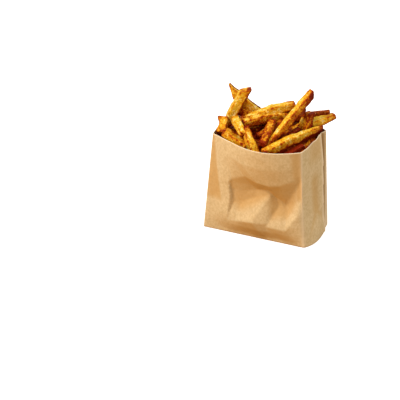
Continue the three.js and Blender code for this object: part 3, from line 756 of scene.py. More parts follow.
def scatter_fillers(count):
    draw = seeded_draw(FILLER_SEED)
    draw_ends = seeded_draw(FILLER_ENDS_SEED)

    def between(low, high, stream=draw):
        return low + (high - low) * next(stream)

    fillers = []
    for _ in range(count):
        length = between(*FILLER_LENGTHS)
        heading = between(0, 2 * math.pi)
        pitch = between(*FILLER_PITCH)
        middle = np.array([between(*limits) for limits in FILLER_BOX])
        level = math.cos(pitch)
        along = np.array(
            (math.cos(heading) * level, math.sin(heading) * level, math.sin(pitch))
        )
        fillers.append(
            dict(
                foot=middle - along * length / 2,
                tip=middle + along * length / 2,
                length=length,
                width=between(*FILLER_WIDTHS) * FRY_WIDTH,
                cut=(between(-FILLER_CUT, FILLER_CUT), 0),
                bow=between(-FILLER_BOW, FILLER_BOW),
                ends=[between(*FILLER_ENDS, draw_ends), between(*FILLER_ENDS, draw_ends)],
                pinned=False,
            )
        )
    return fillers


def crosses_paper(fry):
    """Whether a fry that has settled still stands out into the paper somewhere."""
    margin = PAPER_WALL + FRIES_CLEARANCE + CROSSED * fry["width"]
    for share in WATCHED_SHARES:
        point = fry["foot"] + (fry["tip"] - fry["foot"]) * share
        if np.linalg.norm(keep_inside(point, margin) - point) > CROSSED_SLACK:
            return True
    return False


def pinned_fry(fry):
    return {
        **fry,
        "foot": np.array(fry["foot"], float),
        "tip": np.array(fry["tip"], float),
        "pinned": True,
    }


def settled_fillers(count):
    shown = [pinned_fry(fry) for fry in SHOWN_FRIES]
    fillers = scatter_fillers(count)
    fries = shown + fillers
    for step in range(SETTLE_STEPS):
        sink = np.array((0, 0, SINK_PER_STEP * (1 - step / SETTLE_STEPS)))
        for filler in fillers:
            filler["foot"] = filler["foot"] - sink
            filler["tip"] = filler["tip"] - sink
        for i, fry in enumerate(fries):
            for other in fries[max(i + 1, len(shown)) :]:
                push_apart(fry, other)
        for filler in fillers:
            hold_filler(filler)
    return [filler for filler in fillers if not crosses_paper(filler)]


# ---- One fry ----

END_ROUNDING = 0.9
END_STEPS = 4
CAP_SCALES = (0.72, 0.4)
CORNER_POWER = 5.5  # a higher one makes the section squarer
FACE_HOLLOW = 0.05  # share of the half width that each face sinks between its edges
THICKNESS = 0.95  # of a fry whose own isn't given, as a share of its width

# How uneven a fry is, in shares of its half width, millimetres and degrees.
SWELL = 0.14
WANDER = 0.8
MOST_SWAY = 0.8
MOST_TWIST = 10
SHEARED = (0.45, 0.9)  # shares of its length between which a slanting cut sets in

# How much browner than its own brown a fry is along its edges and at and near its ends, and how much
# painted shade darkens its foot and the side that faces down and to the right.
EDGE_BROWN = 0.42
EDGE_SHARPNESS = 7  # a higher one makes the brown along an edge narrower
EDGE_BROKEN = 1.6  # how unevenly it runs along an edge
END_BROWN = 0.38
END_BROWN_REACH = 1.6
CAP_BROWN = 0.35
TIP_REACH = (14, 1)  # millimetres from the tip where its browning starts and is full
FOOT_REACH = (0.1, 0.5)  # shares of the length where the foot's painted shade starts to fade and ends
SIDE_PAINTED_SHADE = 0.36
SHADED_SIDE_DIRECTION = np.array((0.62, 0.05, -0.78))

SKIN_WANDER = 0.35  # share of its half width by which a strip of skin widens and narrows
SKIN_BLUR = 6  # degrees
SKIN_END = (0.06, 0.02)  # shares of the length over which it ends, outside and inside its limits


def section(around):
    """A square with broken edges and slightly hollow faces, one unit from middle to face."""
    turn = np.arange(around) * 2 * math.pi / around
    side, up = np.cos(turn), np.sin(turn)
    reach = (np.abs(side) ** CORNER_POWER + np.abs(up) ** CORNER_POWER) ** (-1 / CORNER_POWER)
    reach *= 1 - FACE_HOLLOW * (0.5 + 0.5 * np.cos(4 * turn))
    corners = (0.5 - 0.5 * np.cos(4 * turn)) ** EDGE_SHARPNESS
    return turn, side * reach, up * reach, corners


def stations(length, spacing):
    """Distances from the foot with how far the section is drawn in there, to round the ends."""
    turns = np.linspace(0, math.pi / 2, END_STEPS + 1)
    rounding = [(END_ROUNDING * (1 - math.cos(t)), END_ROUNDING * (1 - math.sin(t))) for t in turns]
    body = length - 2 * END_ROUNDING
    count = max(2, round(body / spacing))
    middle = [(END_ROUNDING + body * n / count, 0.0) for n in range(1, count)]
    far = [(length - distance, inset) for distance, inset in reversed(rounding)]
    return rounding + middle + far


def skin_mask(strips, turn, share, wander):
    """1 where a strip of skin runs along the fry, with an edge that wanders."""
    mask = np.zeros_like(turn)
    outside, inside = SKIN_END
    for middle, half, first, last in strips:
        away = np.abs((np.degrees(turn) - middle + 180) % 360 - 180)
        reach = half * (1 + SKIN_WANDER * wander)
        within = smoothstep(first - outside, first + inside, share) if first > 0 else 1.0
        if last < 1:
            within = within * (1 - smoothstep(last - inside, last + outside, share))
        strip = 1 - smoothstep(reach - SKIN_BLUR, reach + SKIN_BLUR, away)
        mask = np.maximum(mask, strip * within)
    return mask


def add_fry(parts, fry, around, spacing, draw):
    """Adds one closed fry: rings from foot to tip, drawn in at both ends, and two caps."""
    foot, tip = fry["foot"], fry["tip"]
    length = np.linalg.norm(tip - foot)
    along = (tip - foot) / length
    across = unit(np.array((-along[1], along[0], 0)))
    up = np.cross(along, across)
    half_width = fry["width"] / 2
    half_thick = fry.get("thick", THICKNESS * fry["width"]) / 2
    cut_side, cut_up = fry.get("cut", (0, 0))
    foot_share, tip_share = fry.get("ends", (1, 1))
    bow, sway = fry.get("bow", 0), 2 * MOST_SWAY * next(draw) - MOST_SWAY
    twist = math.radians(2 * MOST_TWIST * next(draw) - MOST_TWIST)
    phase = 100 * next(draw)
    tone = next(draw)
    brown = fry.get("brown", 0.4)
    painted_shade_angle, painted_shade_side = fry.get("painted_shade_side", (270, 0.15))
    crisp = fry.get("crisp", 0.3)
    turn, side, rise, corners = section(around)

    def uneven(distance, wavelength, kind):
        """From -1 to 1 along the fry, in another way for each kind."""
        return noise.noise(Vector((distance / wavelength, phase, kind)))

    def browned(distance):
        """How dark the crust is round the fry at a distance from its foot, with painted shade at its
        foot, on its painted shade side and on the side that faces down and to the right.
        """
        from_end = min(distance, length - distance)
        near_tip = smoothstep(length - TIP_REACH[0], length - TIP_REACH[1], distance)
        near_foot = 1 - smoothstep(*FOOT_REACH, distance / length)
        darkness = (
            brown
            + EDGE_BROWN * corners * (1 + EDGE_BROKEN * uneven(distance, 3, 10))
            + END_BROWN * math.exp(-from_end / END_BROWN_REACH)
            + fry.get("tip_brown", 0.12) * near_tip
            + fry.get("foot_shade", 0.1) * near_foot
        )
        darkness = darkness + painted_shade_side * np.maximum(0, np.cos(turn - math.radians(painted_shade_angle)))
        faces = np.outer(side, across) + np.outer(rise, up)
        return darkness + SIDE_PAINTED_SHADE * np.clip(faces @ SHADED_SIDE_DIRECTION, 0, 1)

    def ring(distance, inset, scale=1.0):
        share = distance / length
        size = np.interp(share, (0, 0.5, 1), (foot_share, 1, tip_share))
        wide = half_width * size * (1 + SWELL * uneven(distance, 7, 2))
        thick = half_thick * size * (1 + SWELL * uneven(distance, 8, 4))
        lateral = side * (wide - inset) * scale
        upward = rise * (thick - inset) * scale
        angle = twist * (share - 0.5)
        turned = lateral * math.cos(angle) - upward * math.sin(angle)
        raised = lateral * math.sin(angle) + upward * math.cos(angle)
        slant = (cut_side * turned / half_width + cut_up * raised / half_thick) / 2
        slant = slant * smoothstep(*SHEARED, share)
        bend = math.sin(math.pi * share)
        middle = foot + up * (bow * bend + WANDER * bend * uneven(distance, 13, 6))
        middle = middle + across * (sway * bend + WANDER * bend * uneven(distance, 12, 8))
        points = middle + np.outer(distance + slant, along)
        points = points + np.outer(turned, across) + np.outer(raised, up)
        skin = skin_mask(fry.get("skin", ()), turn, share, uneven(distance, 7, 0))
        return parts.add_points(
            points, browning=browned(distance), skin=skin, tone=tone, crisp=crisp
        )

    foot_cap = [(0.0, END_ROUNDING, scale) for scale in reversed(CAP_SCALES)]
    tip_cap = [(length, END_ROUNDING, scale) for scale in CAP_SCALES]
    rings = [ring(*place) for place in [*foot_cap, *stations(length, spacing), *tip_cap]]
    parts.stack(rings, around)
    ends = dict(browning=brown + CAP_BROWN, tone=tone, crisp=crisp)
    parts.close(rings[0], around, foot, flip=True, **ends)
    parts.close(rings[-1], around, foot + along * length, **ends)


# ---- Node trees ----

GEOMETRY = "NodeSocketGeometry"
FLOAT = "NodeSocketFloat"
MATERIAL = "NodeSocketMaterial"
VECTOR = "NodeSocketVector"


def set_inputs(tree, node, inputs):
    """Sets a node's inputs, each to a value or to the socket that feeds it."""
    for key, value in inputs.items():
        socket = node.inputs[key]
        if isinstance(value, bpy.types.NodeSocket):
            tree.links.new(value, socket)
        else:
            socket.default_value = value


def add_node(tree, kind, inputs=None, **properties):
    node = tree.nodes.new(kind)
    for name, value in properties.items():
        setattr(node, name, value)
    set_inputs(tree, node, inputs or {})
    return node


def maths(tree, operation, first, second, third=0.0, clamp=False):
    inputs = {0: first, 1: second, 2: third}
    node = add_node(tree, "ShaderNodeMath", inputs, operation=operation, use_clamp=clamp)
    return node.outputs[0]


def scaled(tree, vector, factor):
    inputs = {0: vector, "Scale": factor}
    return add_node(tree, "ShaderNodeVectorMath", inputs, operation="SCALE").outputs[0]


def noise_value(tree, vector, scale, detail=3.0, roughness=0.55, seed=None):
    inputs = {"Vector": vector, "Scale": scale, "Detail": detail, "Roughness": roughness}
    if seed is None:
        return add_node(tree, "ShaderNodeTexNoise", inputs).outputs[0]
    inputs["W"] = seed
    return add_node(tree, "ShaderNodeTexNoise", inputs, noise_dimensions="4D").outputs[0]


def mapped(tree, value, low, high, to_low=0.0, to_high=1.0, **properties):
    inputs = {"From Min": low, "From Max": high, "To Min": to_low, "To Max": to_high}
    return add_node(tree, "ShaderNodeMapRange", {"Value": value, **inputs}, **properties).outputs[0]


def node_group(name, tree_type, inputs, outputs):
    """A group with named inputs, each as (socket type, default), and outputs, with their types."""
    tree = bpy.data.node_groups.new(name, tree_type)
    for input_name, (kind, default) in inputs.items():
        socket = tree.interface.new_socket(input_name, in_out="INPUT", socket_type=kind)
        if default is not None:
            socket.default_value = default
    for output_name, kind in outputs.items():
        tree.interface.new_socket(output_name, in_out="OUTPUT", socket_type=kind)
    return tree, add_node(tree, "NodeGroupInput").outputs


def geometry_group(name, inputs):
    inputs = {"Geometry": (GEOMETRY, None), **inputs}
    return node_group(name, "GeometryNodeTree", inputs, {"Geometry": GEOMETRY})


def finish_geometry(tree, geometry, material):
    """Ends a tree with real faces, all of one material."""
    real = add_node(tree, "GeometryNodeRealizeInstances", {"Geometry": geometry}).outputs[0]
    inputs = {"Geometry": real, "Material": material}
    finished = add_node(tree, "GeometryNodeSetMaterial", inputs).outputs[0]
    add_node(tree, "NodeGroupOutput", {"Geometry": finished})


def run_geometry(piece, tree, values):
    """Runs the tree on the piece with these inputs and leaves the result as its plain mesh."""
    modifier = piece.modifiers.new(tree.name, "NODES")
    modifier.node_group = tree
    sockets = {s.name: s.identifier for s in tree.interface.items_tree if s.in_out == "INPUT"}
    for name, value in values.items():
        modifier[sockets[name]] = value
    bpy.context.view_layer.update()
    depsgraph = bpy.context.evaluated_depsgraph_get()
    mesh = bpy.data.meshes.new_from_object(
        piece.evaluated_get(depsgraph), preserve_all_data_layers=True, depsgraph=depsgraph
    )
    if not mesh.polygons:
        raise RuntimeError(f"{tree.name} made no faces for {piece.name}")
    piece.modifiers.remove(modifier)
    piece.data = mesh
    mesh.name = piece.name


# ---- Crust relief, on every fry ----

BLISTERED = (0.45, 0.62)  # of the noise that says where blisters start and where they are full
PATCH_SIZE = 0.4  # patches of blisters for each blister across
BLISTER_EDGE = 0.75  # of a cell's width, where its blister starts
BLISTER_LEAST = 0.4  # share of the blisters' height on a fry that isn't crisp
BLISTER_CRISP = 1.2  # and how much is added on a crisp one


def crust_tree():
    """Moves a fry's surface in and out: slow waves, and blisters in patches."""
    tree, given = geometry_group(
        "Fried Crust",
        {
            "Wave Height": (FLOAT, 0.0004),
            "Wave Size": (FLOAT, 0.012),
            "Blister Height": (FLOAT, 0.0003),
            "Blister Size": (FLOAT, 0.0024),
            "Seed": ("NodeSocketInt", 1),
            "Crust Material": (MATERIAL, None),
        },
    )
    place = add_node(tree, "GeometryNodeInputPosition").outputs[0]
    normal = add_node(tree, "GeometryNodeInputNormal").outputs[0]
    seed = given["Seed"]
    per_wave = maths(tree, "DIVIDE", 1.0, given["Wave Size"])
    wave = noise_value(tree, place, per_wave, 1.0, 0.5, seed)
    swell = maths(tree, "MULTIPLY", maths(tree, "SUBTRACT", wave, 0.5), given["Wave Height"])
    per_blister = maths(tree, "DIVIDE", 1.0, given["Blister Size"])
    cells = add_node(
        tree,
        "ShaderNodeTexVoronoi",
        {"Vector": place, "W": seed, "Scale": per_blister, "Smoothness": 0.6},
        voronoi_dimensions="4D",
        feature="SMOOTH_F1",
    ).outputs["Distance"]
    bubble = maths(tree, "SUBTRACT", BLISTER_EDGE, cells, clamp=True)
    per_patch = maths(tree, "MULTIPLY", per_blister, PATCH_SIZE)
    patches = noise_value(tree, place, per_patch, 2.0, 0.5, seed)
    where = mapped(tree, patches, *BLISTERED, interpolation_type="SMOOTHSTEP")
    crisp = add_node(
        tree, "GeometryNodeInputNamedAttribute", {"Name": "crisp"}, data_type="FLOAT"
    ).outputs["Attribute"]
    crisp = maths(tree, "MULTIPLY_ADD", crisp, BLISTER_CRISP, BLISTER_LEAST)
    height = maths(tree, "MULTIPLY", given["Blister Height"], crisp)
    raised = maths(tree, "MULTIPLY", maths(tree, "MULTIPLY", bubble, where), height)
    offset = scaled(tree, normal, maths(tree, "ADD", swell, raised))
    moved = add_node(
        tree, "GeometryNodeSetPosition", {"Geometry": given["Geometry"], "Offset": offset}
    ).outputs[0]
    finish_geometry(tree, moved, given["Crust Material"])
    return tree


# ---- Seasoning and crumbs, scattered over the fries ----

GRAIN_TIPPED = 0.5  # radians by which a grain is tipped at most
SMALLEST_GRAIN = 0.35  # share of the largest
GRAIN_SUNK = 0.04  # share of the largest grain that sinks into the crust
GRAIN_POINTS = 12
GRAIN_REACH = (0.36, 0.14)  # of a grain's points from its middle: the least, and what a draw adds
GRAIN_WIDTH = 0.75  # share of its length


def scatter_tree():
    """Strews small grains over a surface, most of them where it faces up."""
    tree, given = geometry_group(
        "Strewn Grains",
        {
            "Grain": ("NodeSocketObject", None),
            "Density": (FLOAT, 100000.0),
            "Smallest": (FLOAT, 0.0002),
            "Largest": (FLOAT, 0.0006),
            "Sunk": (FLOAT, 0.0001),
            "Seed": ("NodeSocketInt", 1),
            "Grain Material": (MATERIAL, None),
        },
    )
    seed = given["Seed"]
    normal = add_node(tree, "GeometryNodeInputNormal").outputs[0]
    height = add_node(tree, "ShaderNodeSeparateXYZ", {0: normal}).outputs["Z"]
    facing_up = mapped(tree, height, -0.5, 0.7, to_low=0.15)
    density = maths(tree, "MULTIPLY", given["Density"], facing_up)
    strewn = add_node(
        tree,
        "GeometryNodeDistributePointsOnFaces",
        {"Mesh": given["Geometry"], "Density": density, "Seed": seed},
    ).outputs
    sunk = scaled(tree, strewn["Normal"], maths(tree, "MULTIPLY", given["Sunk"], -1.0))
    points = add_node(
        tree, "GeometryNodeSetPosition", {"Geometry": strewn["Points"], "Offset": sunk}
    ).outputs[0]
    most_turned = (GRAIN_TIPPED, GRAIN_TIPPED, 2 * math.pi)
    spin = add_node(
        tree,
        "FunctionNodeRandomValue",
        {0: (0.0, 0.0, 0.0), 1: most_turned, "Seed": seed},
        data_type="FLOAT_VECTOR",
    ).outputs[0]
    turned = add_node(
        tree,
        "FunctionNodeRotateEuler",
        {"Rotation": strewn["Rotation"], "Rotate By": spin},
        space="LOCAL",
    ).outputs[0]
    size = add_node(
        tree,
        "FunctionNodeRandomValue",
        {2: given["Smallest"], 3: given["Largest"], "Seed": seed},
        data_type="FLOAT",
    ).outputs[1]
    grain = add_node(
        tree, "GeometryNodeObjectInfo", {"Object": given["Grain"], "As Instance": True}
    ).outputs["Geometry"]
    placed = add_node(
        tree,
        "GeometryNodeInstanceOnPoints",
        {"Points": points, "Instance": grain, "Rotation": turned, "Scale": size},
    ).outputs[0]
    finish_geometry(tree, placed, given["Grain Material"])
    return tree


def grain_object(name, seed, flatness):
    """A broken crumb, one unit long: the hull of a few seeded points."""
    draw = seeded_draw(seed)
    work = bmesh.new()
    least, more = GRAIN_REACH
    for _ in range(GRAIN_POINTS):
        point = Vector([next(draw) - 0.5 for _ in range(3)]).normalized()
        point *= least + more * next(draw)
        work.verts.new((point.x, point.y * GRAIN_WIDTH, point.z * flatness))
    hull = bmesh.ops.convex_hull(work, input=work.verts)
    bmesh.ops.delete(work, geom=hull["geom_interior"], context="VERTS")
    bmesh.ops.recalc_face_normals(work, faces=work.faces)
    mesh = bpy.data.meshes.new(name)
    work.to_mesh(mesh)
    work.free()
    grain = link_object(name, mesh)
    grain.hide_render = True
    return grain


# ---- Materials ----

CRUST_NAME = "fried_crust"
MOTTLE_NAME = "Fried Mottle"

# The paper's noises, each as (how many to a fibre's size, detail, roughness), and the shares of its
# light tone that come from them.
FIBRES = (1.4, 5.0, 0.65)
CLOUDS = (0.16, 4.0, 0.6)
CLUMPS = (0.42, 2.0, 0.6)
FLECKS = (0.9, 1.0, 0.4)
FIBRE_STRETCH = (1.0, 1.0, 0.16)
FIBRE_SHARE = 0.29
CLOUD_SHARE = 0.29
CLUMP_SHARE = 0.42
FLECK_SHARE = 0.16
FLECKED = (0.66, 0.74)  # of the flecks' noise, where one starts and is full
OIL_STAINED = (0.46, 0.6)  # of the oil's noise, where the paper starts to stain and is soaked

# The crust's noises, each as (how many to a metre, detail, roughness).
BROWN_PATCHES = (150.0, 2.0, 0.55)
BROWN_SPOTS = (430.0, 4.0, 0.75)
BROWN_GRAIN = (640.0, 1.0, 0.6)
CRUST_GRIT = (1300.0, 3.0, 0.6)
STAIN_SPOTS = (760.0, 2.0, 0.55)
SKIN_SPOTS = (350.0, 3.0, 0.55)

GOLDEN_AT = 0.34  # of the way from pale to dark
BROWN_AT = 0.66
TONE_SPREAD = 0.14  # how much more one fry has browned than another
TONE_LEAST = -0.1
PLAIN_PATCHY = 0.85  # share of the settings' patchiness on a fry that isn't crisp
CRISP_PATCHY = 0.5  # and how much is added on a crisp one

# How deep the bumps that only the shading shows are, in metres.
CRUST_RELIEF = 0.0005
CORE_RELIEF = 0.0006
GRAIN_RELIEF = 0.00008
PAPER_RELIEF = 0.00006


def as_colour(value):
    """A colour with its alpha, or the socket that feeds one, as it is."""
    return value if isinstance(value, bpy.types.NodeSocket) else (*value[:3], 1)


def blend_colours(tree, factor, first, second):
    inputs = {0: factor, 6: as_colour(first), 7: as_colour(second)}
    node = add_node(tree, "ShaderNodeMix", inputs, data_type="RGBA", clamp_factor=True)
    return node.outputs[2]


def shader_group(name, inputs, outputs):
    """A group with named inputs and outputs, which are all plain values."""
    return node_group(name, "ShaderNodeTree", inputs, {output: FLOAT for output in outputs})


def fibre_group():
    """Kraft paper: long fibres up the bag, clumped and cloudy pulp and dark flecks."""
    inputs = {"Vector": (VECTOR, None), "Size": (FLOAT, 0.001)}
    tree, given = shader_group("Paper Fibre", inputs, ("Fibre", "Cloud", "Clump", "Fleck"))
    per_size = maths(tree, "DIVIDE", 1.0, given["Size"])
    drawn = add_node(
        tree, "ShaderNodeMapping", {"Vector": given["Vector"], "Scale": FIBRE_STRETCH}
    ).outputs[0]

    def pulp(vector, spacing, detail, roughness):
        return noise_value(
            tree, vector, maths(tree, "MULTIPLY", per_size, spacing), detail, roughness
        )

    made = {
        "Fibre": pulp(drawn, *FIBRES),
        "Cloud": pulp(given["Vector"], *CLOUDS),
        "Clump": pulp(given["Vector"], *CLUMPS),
        "Fleck": mapped(tree, pulp(drawn, *FLECKS), *FLECKED),
    }
    add_node(tree, "NodeGroupOutput", made)
    return tree


def mottle_group():
    """Fried crust: how far it has browned, in patches and spots, with its fine relief and where
    painted glints go.
    """
    inputs = {"Vector": (VECTOR, None), "Browning": (FLOAT, 0.3), "Patchiness": (FLOAT, 0.5)}
    tree, given = shader_group(MOTTLE_NAME, inputs, ("Brown", "Height", "Spots", "Glints"))
    place = given["Vector"]
    patches = mapped(tree, noise_value(tree, place, *BROWN_PATCHES), 0.3, 0.7, -0.45, 0.45)
    spots = mapped(tree, noise_value(tree, place, *BROWN_SPOTS), 0.3, 0.7, -0.5, 0.5)
    grain = mapped(tree, noise_value(tree, place, *BROWN_GRAIN), 0.34, 0.66, -0.5, 0.5)
    uneven = maths(tree, "MULTIPLY_ADD", spots, 0.8, patches)
    uneven = maths(tree, "MULTIPLY_ADD", grain, 0.4, uneven)
    brown = maths(tree, "MULTIPLY_ADD", uneven, given["Patchiness"], given["Browning"])
    grit = noise_value(tree, place, *CRUST_GRIT)
    made = {
        "Brown": maths(tree, "MAXIMUM", brown, 0.0, clamp=True),
        "Height": maths(tree, "MULTIPLY_ADD", grit, 0.5, spots),
        "Spots": spots,
        "Glints": mapped(tree, uneven, -0.55, -0.2, 1.0, 0.0),
    }
    add_node(tree, "NodeGroupOutput", made)
    return tree


def shared_group(name, make):
    return bpy.data.node_groups.get(name) or make()


def new_material(name, constants):
    """A material with a Principled shader that has these constants on its own sockets."""
    material = bpy.data.materials.new(name)
    material.use_nodes = True
    tree = material.node_tree
    shader = tree.nodes["Principled BSDF"]
    set_inputs(tree, shader, constants)
    return material, tree, shader


def object_place(tree):
    return add_node(tree, "ShaderNodeTexCoord").outputs["Object"]


def attribute(tree, name):
    return add_node(tree, "ShaderNodeAttribute", attribute_name=name).outputs["Fac"]


def relief(tree, height, distance):
    inputs = {"Height": height, "Distance": distance, "Strength": 1.0}
    return add_node(tree, "ShaderNodeBump", inputs).outputs[0]


def mottled(tree, place, browning, patchiness):
    """The shared mottle, placed in a material with its own values."""
    inputs = {"Vector": place, "Browning": browning, "Patchiness": patchiness}
    group = shared_group(MOTTLE_NAME, mottle_group)
    return add_node(tree, "ShaderNodeGroup", inputs, node_tree=group).outputs


def kraft_material(name, group, settings, inside):
    material, tree, shader = new_material(name, {"Roughness": 0.82})
    place = object_place(tree)
    inputs = {"Vector": place, "Size": settings.fibre_size}
    fibre = add_node(tree, "ShaderNodeGroup", inputs, node_tree=group).outputs
    streak = mapped(tree, fibre["Fibre"], 0.3, 0.7)
    cloud = mapped(tree, fibre["Cloud"], 0.32, 0.68)
    clump = mapped(tree, fibre["Clump"], 0.36, 0.64)
    tint = maths(tree, "MULTIPLY", cloud, CLOUD_SHARE)
    tint = maths(tree, "MULTIPLY_ADD", streak, FIBRE_SHARE, tint)
    tint = maths(tree, "MULTIPLY_ADD", clump, CLUMP_SHARE, tint)
    paper = blend_colours(tree, tint, settings.deep_colour, settings.paper_colour)
    fleck = maths(tree, "MULTIPLY", fibre["Fleck"], FLECK_SHARE)
    # under paints shade where the paper faces down, lies deep in a fold or turns away beside an
    # upright.
    coats = [(fleck, settings.fleck_colour), (attribute(tree, "under"), settings.shaded_colour)]
    if inside:
        oil = noise_value(tree, place, 90.0, 4.0)
        coats.append((mapped(tree, oil, *OIL_STAINED, 0.15, 0.85), settings.oil_and_gap_shade_colour))
        set_inputs(tree, shader, {"Roughness": mapped(tree, oil, *OIL_STAINED, 0.8, 0.4)})
    else:
        # Paler where rubbed and with painted highlights, painted shadow in the gap under the lap, and
        # the pale cut edge.
        coats.append((attribute(tree, "wear"), settings.worn_and_highlight_colour))
        coats.append((attribute(tree, "gap"), settings.oil_and_gap_shade_colour))
        coats.append((attribute(tree, "rim"), settings.worn_and_highlight_colour))
    for cover, colour in coats:
        paper = blend_colours(tree, cover, paper, colour)
    normal = relief(tree, maths(tree, "MULTIPLY_ADD", cloud, 0.5, streak), PAPER_RELIEF)
    set_inputs(tree, shader, {"Base Color": paper, "Normal": normal})
    return material


def browning_ramp(tree, value, settings):
    """Runs from pale over golden and brown to dark crust."""
    ramp = add_node(tree, "ShaderNodeValToRGB", {"Fac": value})
    elements = ramp.color_ramp.elements
    for position in (GOLDEN_AT, BROWN_AT):
        elements.new(position)
    for element, tone in zip(elements, ("pale", "golden", "brown", "dark")):
        element.color = (*getattr(settings, f"{tone}_colour"), 1)
    return ramp.outputs["Color"]


def fried_material(settings):
    """The fries' finish: crust by how far it browned, darkened by painted shade, painted glints, skin
    strips and seasoning stains.
    """
    material, tree, shader = new_material(
        CRUST_NAME, {"Specular IOR Level": 0.2, "Specular Tint": (1.0, 0.6, 0.25, 1.0)}
    )
    place = object_place(tree)
    tone = maths(tree, "MULTIPLY_ADD", attribute(tree, "tone"), TONE_SPREAD, TONE_LEAST)
    browning = maths(tree, "ADD", attribute(tree, "browning"), tone)
    crisp = maths(tree, "MULTIPLY_ADD", attribute(tree, "crisp"), CRISP_PATCHY, PLAIN_PATCHY)
    patchiness = maths(tree, "MULTIPLY", crisp, settings.patchiness)
    crust = mottled(tree, place, browning, patchiness)
    colour = browning_ramp(tree, crust["Brown"], settings)
    # Painted glints: paler spots on the crust that has browned less.
    painted_glint = maths(tree, "MULTIPLY", crust["Glints"], maths(tree, "SUBTRACT", 0.6, browning))
    painted_glint = maths(tree, "MULTIPLY", painted_glint, 1.5, clamp=True)
    colour = blend_colours(tree, painted_glint, colour, settings.painted_glint_colour)
    stain = mapped(tree, noise_value(tree, place, *STAIN_SPOTS), 0.61, 0.67, 0.0, 0.75)
    colour = blend_colours(tree, stain, colour, settings.stain_colour)
    skin = maths(tree, "ADD", attribute(tree, "skin"), maths(tree, "MULTIPLY", crust["Spots"], 0.5))
    skin_tint = mapped(tree, noise_value(tree, place, *SKIN_SPOTS), 0.35, 0.65)
    skin_colour = blend_colours(tree, skin_tint, settings.skin_colour, settings.brown_colour)
    finish = {
        "Base Color": blend_colours(tree, mapped(tree, skin, 0.4, 0.6), colour, skin_colour),
        "Roughness": mapped(tree, crust["Spots"], -0.5, 0.5, 0.34, 0.56),
        "Normal": relief(tree, crust["Height"], CRUST_RELIEF),
    }
    set_inputs(tree, shader, finish)
    return material


def crust_material(settings):
    return bpy.data.materials.get(CRUST_NAME) or fried_material(settings)


def plain_crust_material(name, constants, colours, browning, patchiness, height):
    """Crust in two tones, for the heap's shaded depth and for the strewn grains."""
    material, tree, shader = new_material(name, constants)
    crust = mottled(tree, object_place(tree), browning, patchiness)
    finish = {
        "Base Color": blend_colours(tree, crust["Brown"], *colours),
        "Normal": relief(tree, crust["Height"], height),
    }
    set_inputs(tree, shader, finish)
    return material


def grain_material(name, colours, roughness):
    return plain_crust_material(
        name,
        {"Roughness": roughness},
        colours,
        browning=0.5,
        patchiness=0.9,
        height=GRAIN_RELIEF,
    )


# ---- Settings ----


class PaperBagSettings(bpy.types.PropertyGroup):
    wall: length_input("Paper", "Thickness of the paper", 0.0004, 0.002)
    crumple: length_input("Crumple", "Depth of the small facets all over the paper", 0.0006, 0.003)
    softness: length_input("Crease Softness", "How far a fold's crease is rounded", 0.0012, 0.01)
    fibre_size: length_input("Fibre Size", "Spacing of the fibres in the paper", 0.001, 0.01)
    paper_colour: colour_input("Paper", "Light tone of the kraft paper", (0.735, 0.575, 0.325))
    deep_colour: colour_input("Deep Tone", "Dark tone of the kraft paper", (0.535, 0.375, 0.175))
    fleck_colour: colour_input("Flecks", "Coarse fibres in the paper", (0.33, 0.19, 0.08))
    # Painted shade, blended in where the paper faces down, lies deep in a fold or turns away from the
    # light.
    shaded_colour: colour_input("Under Folds", "Paper that faces down", (0.54, 0.295, 0.07))
    # Rubbed creases and the cut edge, and also the painted highlights beside the creases and on the
    # lap.
    worn_and_highlight_colour: colour_input("Worn Edges", "Cut edge and worn creases", (0.86, 0.70, 0.48))
    # Oil stains inside, and also the painted shadow in the gap under the lap's free edge.
    oil_and_gap_shade_colour: colour_input("Oiled", "Paper that fries have oiled", (0.30, 0.16, 0.05))


class FriesSettings(bpy.types.PropertyGroup):
    filler_count: IntProperty(
        name="Filler Fries",
        description="Fries scattered in the mouth, under those that show most",
        min=1,
        max=80,
        default=46,
    )
    wave_height: length_input("Waves", "How far a fry's faces swell and sink", 0.0011, 0.003)
    blister_height: length_input("Blisters", "Height of the crust's blisters", 0.0007, 0.003)
    blister_size: length_input("Blister Size", "Width of the crust's blisters", 0.0024, 0.01)
    patchiness: number_input(
        "Patchiness", "How unevenly the crust has browned", 0.72, subtype="FACTOR", min=0, max=1
    )
    pale_colour: colour_input("Pale", "Barely browned potato", (0.86, 0.55, 0.035))
    # Painted highlight, blended into the crust's colour where the mottle says it glints.
    painted_glint_colour: colour_input("Oily", "Where oil makes the crust gleam", (1.0, 0.82, 0.40))
    golden_colour: colour_input("Golden", "Golden crust", (0.75, 0.32, 0.006))
    brown_colour: colour_input("Brown", "Well browned crust", (0.43, 0.074, 0.001))
    dark_colour: colour_input("Dark", "Darkest crust, at ends and edges", (0.19, 0.008, 0.0))
    skin_colour: colour_input("Skin", "Potato skin left on the fries", (0.09, 0.008, 0.001))
    stain_colour: colour_input("Stain", "Seasoning rubbed into the crust", (0.3, 0.035, 0.002))


class SeasoningSettings(bpy.types.PropertyGroup):
    flakes_per_area: number_input(
        "Flakes", "Flakes of seasoning on each square metre of crust that faces up", 42000, min=0
    )
    crumbs_per_area: number_input(
        "Crumbs", "Crumbs of crust on each square metre of crust that faces up", 9000, min=0
    )
    flake_size: length_input("Flake Size", "Length of the largest flake", 0.0009, 0.005)
    crumb_size: length_input("Crumb Size", "Length of the largest crumb", 0.0019, 0.005)
    flake_colour: colour_input("Flakes", "Ground spice", (0.26, 0.04, 0.008))
    crumb_colour: colour_input("Crumbs", "Crumbs of crust", (0.78, 0.44, 0.09))


